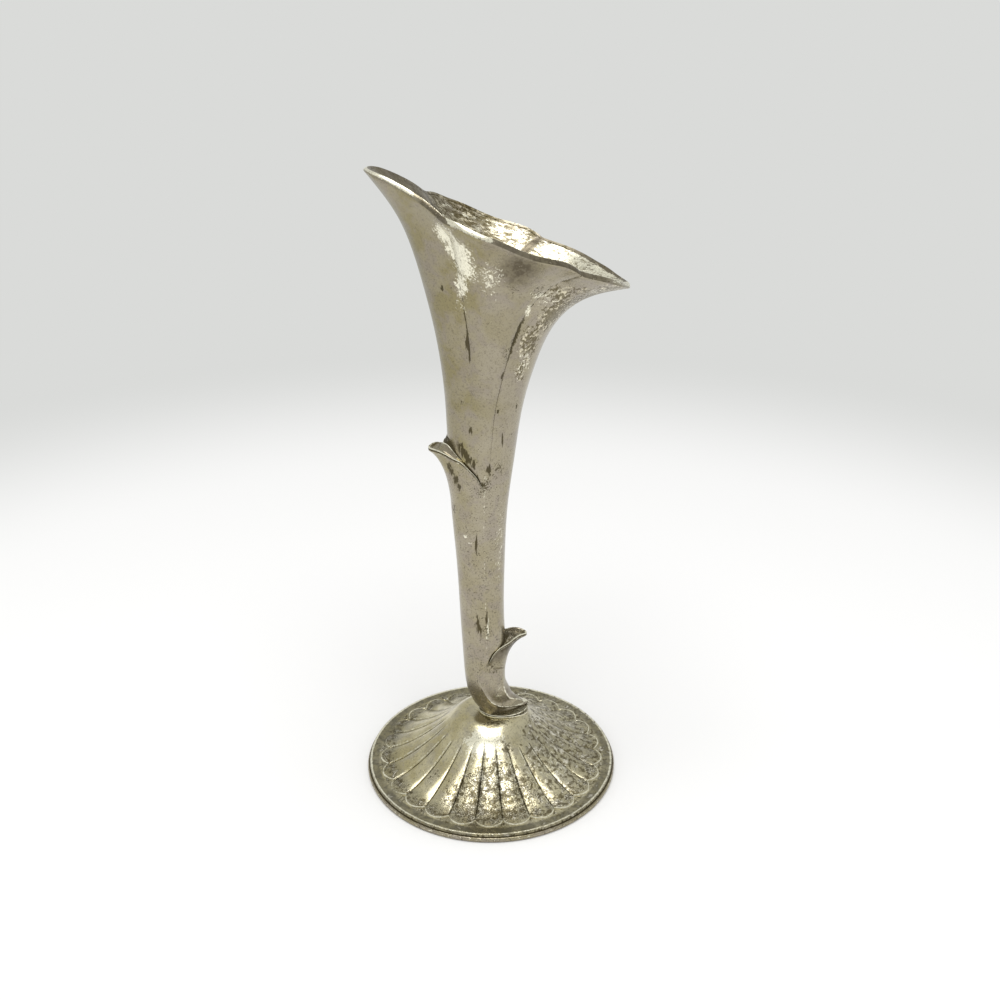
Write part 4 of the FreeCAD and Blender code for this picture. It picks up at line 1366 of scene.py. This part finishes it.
        # The stain includes the painted shadow at the collar's foot.
        stain_and_shade = np.maximum(blobs(points, FOOT_STAINS_AND_SHADOW), 0.95 * line)
        olive = 0.35 + 0.35 * flange + 0.25 * smooth_step(-points[:, 0] / 20) - 0.3 * right
        return {
            "worn_and_highlight": np.where(wall, 0.0, worn_and_highlight), "crust": crust, "pits": pits,
            "stain_and_shade": np.maximum(stain_and_shade, 0.5 * wall), "dusk_and_shade": np.where(wall, 0.85, dusk_and_shade),
            "olive": olive - 0.35 * front * (1 - flange),
        }


def plain_copy(source: Any, name: str) -> Any:
    """Turns an object with modifiers into a new one with a plain mesh, and removes the first.

    Args:
        source: The object to copy.
        name: Name of the new object.

    Returns:
        The new object.
    """
    graph = bpy.context.evaluated_depsgraph_get()
    mesh = bpy.data.meshes.new_from_object(source.evaluated_get(graph))
    mesh.name = name
    mesh.shade_smooth()
    mesh.set_sharp_from_angle(angle=SHARP_ANGLE)
    bpy.data.objects.remove(source)
    piece = bpy.data.objects.new(name, mesh)
    bpy.context.scene.collection.objects.link(piece)
    return piece


@dataclass
class RimWire:
    """The wire under the flange's edge, on which the vase stands."""

    finish: Any
    radius: float = 38.085
    width: float = 2.6
    height: float = 1.5
    rounding: float = 0.6
    inner_land: float = 0.9
    outer_land: float = 0.95
    segments: int = 240

    def build(self) -> Any:
        """Makes the wire.

        Returns:
            The piece.
        """
        inner = self.radius - self.width
        lands = (inner, inner + self.inner_land, self.radius - self.outer_land)
        section = [(place, 0.0) for place in lands]
        centre = self.radius - self.rounding
        for level, start in ((self.rounding, -90), (self.height - self.rounding, 0)):
            for step in range(7):
                angle = math.radians(start + 15 * step)
                section.append((
                    centre + self.rounding * math.cos(angle),
                    level + self.rounding * math.sin(angle),
                ))
        section += [(place, self.height) for place in lands[::-1]]
        angles = 2 * math.pi * np.arange(self.segments) / self.segments
        rings = np.array([
            np.stack([r * np.cos(angles), r * np.sin(angles), np.full_like(angles, z)], axis=-1)
            for r, z in section
        ])
        shape = rings.shape[:2]
        height = rings[..., 2]
        crease = height > self.height - 0.08
        layers = {
            # The band round the wire's face is a painted highlight.
            "worn_and_highlight": 0.45 * (np.abs(height - self.height * 0.72) < 0.3),
            "crust": np.full(shape, 0.5), "pits": np.full(shape, 0.5),
            "stain_and_shade": 0.3 + 0.9 * crease,
            "dusk_and_shade": 0.05 + 0.9 * crease + 0.35 * smooth_step((0.7 - height) / 0.5),
            "olive": np.full(shape, 0.1),
        }
        piece = skin("edge_wire", rings, Ends.LOOP, layers)
        piece.data.materials.append(self.finish)
        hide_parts("rim_wire")
        return piece


class CollarRow(NamedTuple):
    """A row of the collar: its inset, its share of the plate's height, its painted shade and its
    painted highlight.
    """

    inset: float
    share: float
    dusk_and_shade: float
    worn_and_highlight: float


# From the foot up: the lower bead, the dark groove between the beads, and the upper bead. The
# beads' brightness is a painted highlight and the groove's darkness a painted shade.
COLLAR_PLATE = (
    CollarRow(0.0, 0.12, 0.3, 1.1), CollarRow(0.0, 0.3, 0.2, 1.2), CollarRow(0.12, 0.45, 0.9, 0.0),
    CollarRow(0.2, 0.55, 1.0, 0.0), CollarRow(0.12, 0.68, 0.9, 0.0), CollarRow(0.0, 0.8, 0.3, 0.95),
    CollarRow(0.04, 0.94, 0.3, 1.0), CollarRow(0.22, 1.0, 0.8, 0.2),
)


@dataclass
class Collar:
    """The oval plate between the foot's crown and the heel: a neck on a plate with two beads."""

    finish: Any
    foot: Foot
    length: float = 15.2
    width: float = 12.0
    offset: float = 3.8
    top: float = 20.0
    plate_top: float = 19.84
    neck_inset: float = 0.85
    hidden_inset: float = 2.4
    seat_depth: float = 0.15
    columns: int = 128

    def oval(self, inset: float) -> tuple[np.ndarray, np.ndarray]:
        """The collar's outline.

        Args:
            inset: How far inside the plate's edge.

        Returns:
            The places along X and along Y, one for each column.
        """
        angles = 2 * math.pi * np.arange(self.columns) / self.columns
        along = self.offset + (self.length / 2 - inset) * np.cos(angles)
        return along, (self.width / 2 - inset) * np.sin(angles)

    def ground(self, inset: float) -> np.ndarray:
        """Heights of the outline, sunk a little into the foot's upper face."""
        dome = self.foot.dome(np.hypot(*self.oval(inset)))
        return np.minimum(dome, self.foot.crown) - self.seat_depth

    def build(self) -> Any:
        """Makes the collar.

        Returns:
            The piece.
        """
        foot_line = self.ground(0.0)
        # The rows where the collar meets the foot, and the neck's rows below, are painted dark as
        # painted shade.
        rows = [(inset, self.ground(inset), 0.8, 0.0) for inset in (2.0, 0.1)]
        for row in COLLAR_PLATE:
            height = foot_line + row.share * (self.plate_top - foot_line)
            rows.append((row.inset, height, row.dusk_and_shade, row.worn_and_highlight))
        for inset, height in (
            (self.neck_inset, self.plate_top + 0.02),
            (self.neck_inset + 0.1, self.plate_top + 0.08),
            (self.neck_inset, self.top), (self.hidden_inset, self.top),
        ):
            rows.append((inset, np.full(self.columns, height), 0.7, 0.0))
        rings = np.array([
            np.stack([*self.oval(inset), height], axis=-1) for inset, height, _, _ in rows
        ])
        shape = rings.shape[:2]
        dusk_and_shade, worn_and_highlight = (
            np.repeat(np.array([row[place] for row in rows])[:, None], self.columns, axis=1)
            for place in (2, 3)
        )
        # The stain follows the painted shade.
        layers = {
            "worn_and_highlight": worn_and_highlight, "crust": np.full(shape, 0.3), "pits": np.full(shape, 0.5),
            "stain_and_shade": 0.75 * dusk_and_shade, "dusk_and_shade": dusk_and_shade, "olive": np.full(shape, 0.6),
        }
        piece = skin("collar", rings, Ends.POLES, layers)
        piece.data.materials.append(self.finish)
        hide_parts("stem_collar")
        return piece


# Across a leaf's top, as shares of the way from its lip to the tube, and where its fold is.
LEAF_TOP = (
    1.0, 0.95, 0.9, 0.84, 0.79, 0.75, 0.71, 0.66, 0.58, 0.48, 0.38, 0.28, 0.18, 0.08, 0.0,
)
LEAF_FOLD = 0.75
# Round a leaf's lip: outward and upward of its edge in lip thicknesses, and what is there.
LEAF_LIP = (
    (-0.26, -0.04, "crest"), (-0.1, 0.05, "crest"), (0.05, 0.02, "crest"),
    (0.13, -0.12, "crest"), (0.08, -0.3, "groove"), (0.05, -0.48, "groove"),
    (0.1, -0.64, "bead"), (0.06, -0.84, "bead"), (-0.1, -1.0, "under"),
)


@dataclass
class Leaf:
    """A leaf on the tube: a flared lip with a rounded edge, dished on top, run into the tube."""

    finish: Any
    trumpet: Trumpet
    name: str
    node: str
    side: float
    edge: Sequence[tuple[float, float, float]]
    seat_height: float
    root_height: float
    sag: float
    fold: float
    dish_dusk: float
    dish_crust: float
    slope_stain: float
    under_dusk: float = 0.0
    under_crust: float = 0.4
    fullness: float = 0.7
    control_share: float = 0.72
    lip: float = 1.15
    stations: int = 96
    bury: float = 0.5

    def tube_point(
        self, height: np.ndarray, angle: np.ndarray, lift: np.ndarray | float,
    ) -> np.ndarray:
        """A point of the tube's face, lifted off it.

        Args:
            height: Heights of the points.
            angle: Their angles round the tube from the leaf's own side.
            lift: Distance off the face, one for all or one for each point.

        Returns:
            The points.
        """
        level = height
        for _ in range(3):
            v = self.trumpet.at(level)
            half = v["low_half"] if self.side > 0 else v["high_half"]
            along = self.side * (half + lift) * np.cos(angle)
            tilt = np.radians(v["tilt"])
            level = height + along * np.sin(tilt)
        return np.stack([
            v["centre"] + along * np.cos(tilt), (v["half_depth"] + lift) * np.sin(angle), height,
        ], axis=-1)

    def build(self) -> Any:
        """Makes the leaf.

        Returns:
            The piece.
        """
        known = np.array(self.edge, float)
        length = np.append(0, np.cumsum(np.linalg.norm(np.diff(known, axis=0), axis=1)))
        share = np.linspace(-1, 1, self.stations)
        path = np.concatenate([known[:0:-1] * MIRROR_ACROSS, known])
        places = np.concatenate([-length[:0:-1], length])
        crest = np.stack([
            smooth_through(places, path[:, axis], share * length[-1]) for axis in range(3)
        ], axis=-1)
        centre = self.trumpet.at(crest[:, 2])["centre"]
        angle = np.arctan2(crest[:, 1], self.side * (crest[:, 0] - centre))
        near = 1 - np.abs(share)
        throat = known[-1, 2]
        seat = throat + (self.seat_height - throat) * smooth_step(near * 1.15) ** 0.8
        root = throat - 0.6 + (self.root_height - throat + 0.6) * smooth_step(near * 1.3)
        ahead = np.gradient(crest, axis=0)
        out = unit(np.stack([ahead[:, 1], -ahead[:, 0], 0 * near], axis=-1))
        off_tube = crest - self.tube_point(crest[:, 2], angle, 0.0)
        out *= np.sign((out * off_tube).sum(-1, keepdims=True) + 1e-9)
        up = np.array([0.0, 0.0, 1.0])
        thick = (self.lip * (0.45 + 0.55 * smooth_step(near * 1.6)))[:, None]
        seat_on = self.tube_point(seat, angle, 0.0)
        lift = 0.35 + (self.fullness - 0.35) * smooth_step((near - 0.25) / 0.6)
        control = self.tube_point(root + (crest[:, 2] - root) * self.control_share, angle, lift)
        root_on = self.tube_point(root, angle, 0.0)
        back = crest - out * 0.42 * thick - up * 0.22 * thick
        span = np.linalg.norm(back - seat_on, axis=-1)[:, None]
        depth = np.minimum(self.sag, span * 0.32)
        loops = [(self.tube_point(seat + 0.3, angle, -self.bury), "slope")]
        for t in LEAF_TOP:
            fold = self.fold * np.minimum(span / 4, 1) * math.exp(-((t - LEAF_FOLD) / 0.045) ** 2)
            dip = -depth * math.sin(math.pi * t) ** 0.8 + fold
            folded = self.fold > 0 and abs(t - LEAF_FOLD) < 0.03
            kind = "fold" if folded else ("slope" if t > LEAF_FOLD else "dish")
            loops.append((back + (seat_on - back) * t + up * dip, kind))
        for outward, upward, kind in LEAF_LIP:
            loops.append((crest + out * outward * thick + up * upward * thick, kind))
        low = loops[-1][0]
        for t in np.linspace(0.08, 1, 16):
            a, b, c = (1 - t) ** 2, 2 * t * (1 - t), t ** 2
            loops.append((a * low + b * control + c * root_on, "under"))
        loops.append((self.tube_point(root - 1.2, angle, -self.bury), "under"))
        rings = np.stack([points for points, _ in loops], axis=1)
        kinds = np.array([[kind for _, kind in loops]] * len(share))
        if self.side < 0:
            rings, kinds = rings[:, ::-1], kinds[:, ::-1]
        piece = skin(self.name, rings, Ends.POLES, self.wear(rings, kinds))
        piece.data.materials.append(self.finish)
        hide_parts(self.node)
        return piece

    def wear(self, rings: np.ndarray, kinds: np.ndarray) -> dict[str, np.ndarray]:
        """Where the leaf's plate is worn, crusted and stained, with painted highlights on its crest
        and painted shade in its groove.

        Args:
            rings: Points of the skin.
            kinds: The part of the leaf that each belongs to.

        Returns:
            The attributes that the finish reads.
        """
        lifted = smooth_step((rings[..., 2] - self.edge[-1][2] + 1.0) / 5)
        under = self.under_crust * lifted
        # The lip's crest is a painted highlight, brighter on the front.
        crest = np.where(rings[..., 1] < 0.3, 1.15, 0.62)
        layers = {
            "worn_and_highlight": {"crest": crest, "fold": 1.3, "bead": 0.5},
            "pits": {"dish": 0.62 * self.dish_crust, "under": 0.62 * under},
            "crust": {"dish": 0.8 * self.dish_crust, "slope": 0.5, "under": 0.7 * under},
            # The groove under the crest is painted dark with stain and dusk, a painted shade.
            "stain_and_shade": {
                "slope": self.slope_stain, "groove": 1.1, "dish": 0.3,
                "under": blobs(rings, STEM_STAINS),
            },
            "dusk_and_shade": {
                "groove": 1.0, "dish": self.dish_dusk, "slope": 0.6, "bead": 0.3,
                "under": self.under_dusk * lifted,
            },
        }
        wear = {
            layer: sum(value * (kinds == kind) for kind, value in values.items())
            for layer, values in layers.items()
        }
        wear["pits"] = np.maximum(wear["pits"], tube_pits(rings))
        wear["crust"] = np.maximum(wear["crust"], LEAST_CRUST)
        return wear | {"olive": tube_olive(rings)}


# A leaf's edge on one side of the plane of symmetry, from its tip to where it meets the tube.
UPPER_LEAF_EDGE = (
    (-16.8, 0.0, 105.5), (-16.1, -1.6, 105.5), (-14.9, -3.0, 105.5), (-12.9, -4.35, 104.85),
    (-10.7, -5.65, 103.8), (-9.0, -6.75, 103.1), (-7.3, -7.95, 101.5), (-5.5, -8.6, 99.5),
    (-3.6, -8.8, 96.2),
)
LOWER_LEAF_EDGE = (
    (10.75, 0.0, 44.8), (10.1, -1.1, 44.95), (8.5, -2.1, 45.2), (6.8, -3.0, 44.9),
    (4.5, -4.05, 43.9), (2.8, -4.9, 43.5), (0.2, -6.3, 42.3), (-1.35, -6.8, 39.95),
    (-2.1, -6.7, 38.3),
)


# The room


@dataclass
class Studio:
    """A white sweep, one broad soft light overhead, and the camera."""

    camera_place: tuple[float, float, float] = (-45.97, -276.62, 213.51)
    turn: float = math.radians(10.0)
    pitch: float = math.radians(24.05)
    lens: float = 39.6
    sensor: float = 36.0
    near: float = 10.0
    far: float = 20000.0
    floor_hex: str = "#FBFBFA"
    backdrop_hex: str = "#DADBD9"
    world_light: float = 0.65
    lamp_watts: float = 3.7
    lamp_size: float = 600.0
    lamp_place: tuple[float, float, float] = (-50.0, -190.0, 800.0)
    floor_radius: float = 4000.0
    floor_sides: int = 96
    fade_from: float = 240.0
    fade_to: float = 450.0

    def backdrop(self, tree: Any, output: Any) -> None:
        """Shows the backdrop's colour to the eye and to mirrors, and plain light to the rest.

        Args:
            tree: The world's node tree.
            output: Its output node.
        """
        rays = add_node(tree, "ShaderNodeLightPath").outputs
        seen = add_node(tree, "ShaderNodeMath", {"operation": "MAXIMUM"}, {
            0: rays["Is Camera Ray"], 1: rays["Is Glossy Ray"],
        })
        seen = add_node(tree, "ShaderNodeMath", {"operation": "MAXIMUM"}, {
            0: seen.outputs[0], 1: rays["Is Transmission Ray"],
        })
        shown = add_node(
            tree, "ShaderNodeBackground", {"Color": linear(self.backdrop_hex), "Strength": 1.0})
        light = add_node(
            tree, "ShaderNodeBackground", {"Color": (1, 1, 1, 1), "Strength": self.world_light})
        mixed = add_node(tree, "ShaderNodeMixShader", {}, {
            0: seen.outputs[0], 1: light.outputs[0], 2: shown.outputs[0],
        })
        tree.links.new(mixed.outputs[0], output.inputs["Surface"])

    def floor_material(self) -> Any:
        """Makes the pale matt card of the sweep: the eye sees an even near-white.

        Returns:
            The material, plain near the vase and fading to the backdrop's colour far from it.
        """
        material, tree = new_tree("pale_card")
        place = add_node(tree, "ShaderNodeTexCoord")
        away = add_node(
            tree, "ShaderNodeVectorMath", {"operation": "LENGTH"}, {0: place.outputs["Object"]})
        far = add_node(tree, "ShaderNodeMapRange", {
            "interpolation_type": "SMOOTHSTEP", "From Min": self.fade_from * MM,
            "From Max": self.fade_to * MM,
        }, {"Value": away.outputs["Value"]})
        card = add_node(tree, "ShaderNodeBsdfDiffuse", {"Color": linear(self.floor_hex)})
        back = add_node(
            tree, "ShaderNodeEmission", {"Color": linear(self.backdrop_hex), "Strength": 1.0})
        mixed = add_node(tree, "ShaderNodeMixShader", {}, {
            0: far.outputs[0], 1: card.outputs[0], 2: back.outputs[0],
        })
        add_node(tree, "ShaderNodeOutputMaterial", {}, {"Surface": mixed.outputs[0]})
        return material

    def build(self) -> None:
        """Makes the floor, the light, the world and the camera."""
        angles = 2 * math.pi * np.arange(self.floor_sides) / self.floor_sides
        points = self.floor_radius * np.stack(
            [np.cos(angles), np.sin(angles), 0 * angles], axis=-1)
        floor = make_mesh("floor", points, [tuple(range(self.floor_sides))], {})
        floor.data.materials.append(self.floor_material())

        lamp = bpy.data.lights.new("soft_overhead", "AREA")
        lamp.shape, lamp.size, lamp.energy = "SQUARE", self.lamp_size * MM, self.lamp_watts
        holder = bpy.data.objects.new("soft_overhead", lamp)
        holder.location = [value * MM for value in self.lamp_place]
        bpy.context.scene.collection.objects.link(holder)

        world = bpy.data.worlds.new("sweep")
        world.use_nodes = True
        world.node_tree.nodes.clear()
        output = add_node(world.node_tree, "ShaderNodeOutputWorld")
        self.backdrop(world.node_tree, output)
        bpy.context.scene.world = world

        camera = bpy.data.cameras.new("camera")
        camera.lens, camera.sensor_width = self.lens, self.sensor
        camera.clip_start, camera.clip_end = self.near * MM, self.far * MM
        eye = bpy.data.objects.new("camera", camera)
        eye.location = [value * MM for value in self.camera_place]
        ahead = Vector((
            math.sin(self.turn) * math.cos(self.pitch),
            math.cos(self.turn) * math.cos(self.pitch),
            -math.sin(self.pitch),
        ))
        eye.rotation_mode = "QUATERNION"
        eye.rotation_quaternion = ahead.to_track_quat("-Z", "Y")
        bpy.context.scene.collection.objects.link(eye)
        bpy.context.scene.camera = eye
        bpy.context.scene.view_settings.view_transform = "Standard"


def settle(piece: Any) -> None:
    """Fixes a piece to the body and reports it."""
    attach(piece, BODY)
    log.info("%s: %d faces", piece.name, len(piece.data.polygons))


def main() -> None:
    """Builds the vase and its room."""
    logging.basicConfig(level=logging.INFO, format="%(name)s %(message)s")
    body_plate = TarnishedPlate("tarnished_silver_plate_on_the_tube").build()
    foot_plate = TarnishedPlate(
        "tarnished_silver_plate_on_the_foot", clean="#DCD4B4", olive="#BAB088", mauve="#B1AB9C",
        dusk_and_shade="#686456", flake_pale="#F0EBDA", crust_mm=2.1, gloss=0.22, olive_share=0.35,
    ).build()
    trumpet = Trumpet(body_plate)
    foot = Foot(foot_plate)
    settle(trumpet.build())
    settle(Leaf(
        body_plate, trumpet, "upper_leaf_lip", "upper_leaf", -1.0, UPPER_LEAF_EDGE,
        seat_height=108.3, root_height=89.5, sag=2.0, fold=0.32, dish_dusk=0.0, dish_crust=0.5,
        slope_stain=1.1,
    ).build())
    settle(Leaf(
        body_plate, trumpet, "lower_leaf_lip", "lower_leaf", 1.0, LOWER_LEAF_EDGE,
        seat_height=45.4, root_height=34.2, sag=1.2, fold=0.0, dish_dusk=0.25, dish_crust=1.0,
        slope_stain=1.0, under_dusk=1.3, under_crust=1.0, fullness=1.0,
    ).build())
    settle(Collar(foot_plate, foot).build())
    settle(foot.build())
    settle(RimWire(body_plate).build())
    fixing = TurnedBrass("dull_turned_brass").build()
    for node in ("stem_plug", "fixing_stud", "fixing_washer", "fixing_nut"):
        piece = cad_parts[node]
        piece.data.materials.clear()
        piece.data.materials.append(fixing)
        log.info("%s keeps its solid", node)
    Studio().build()


if __name__ == "__main__":
    main()
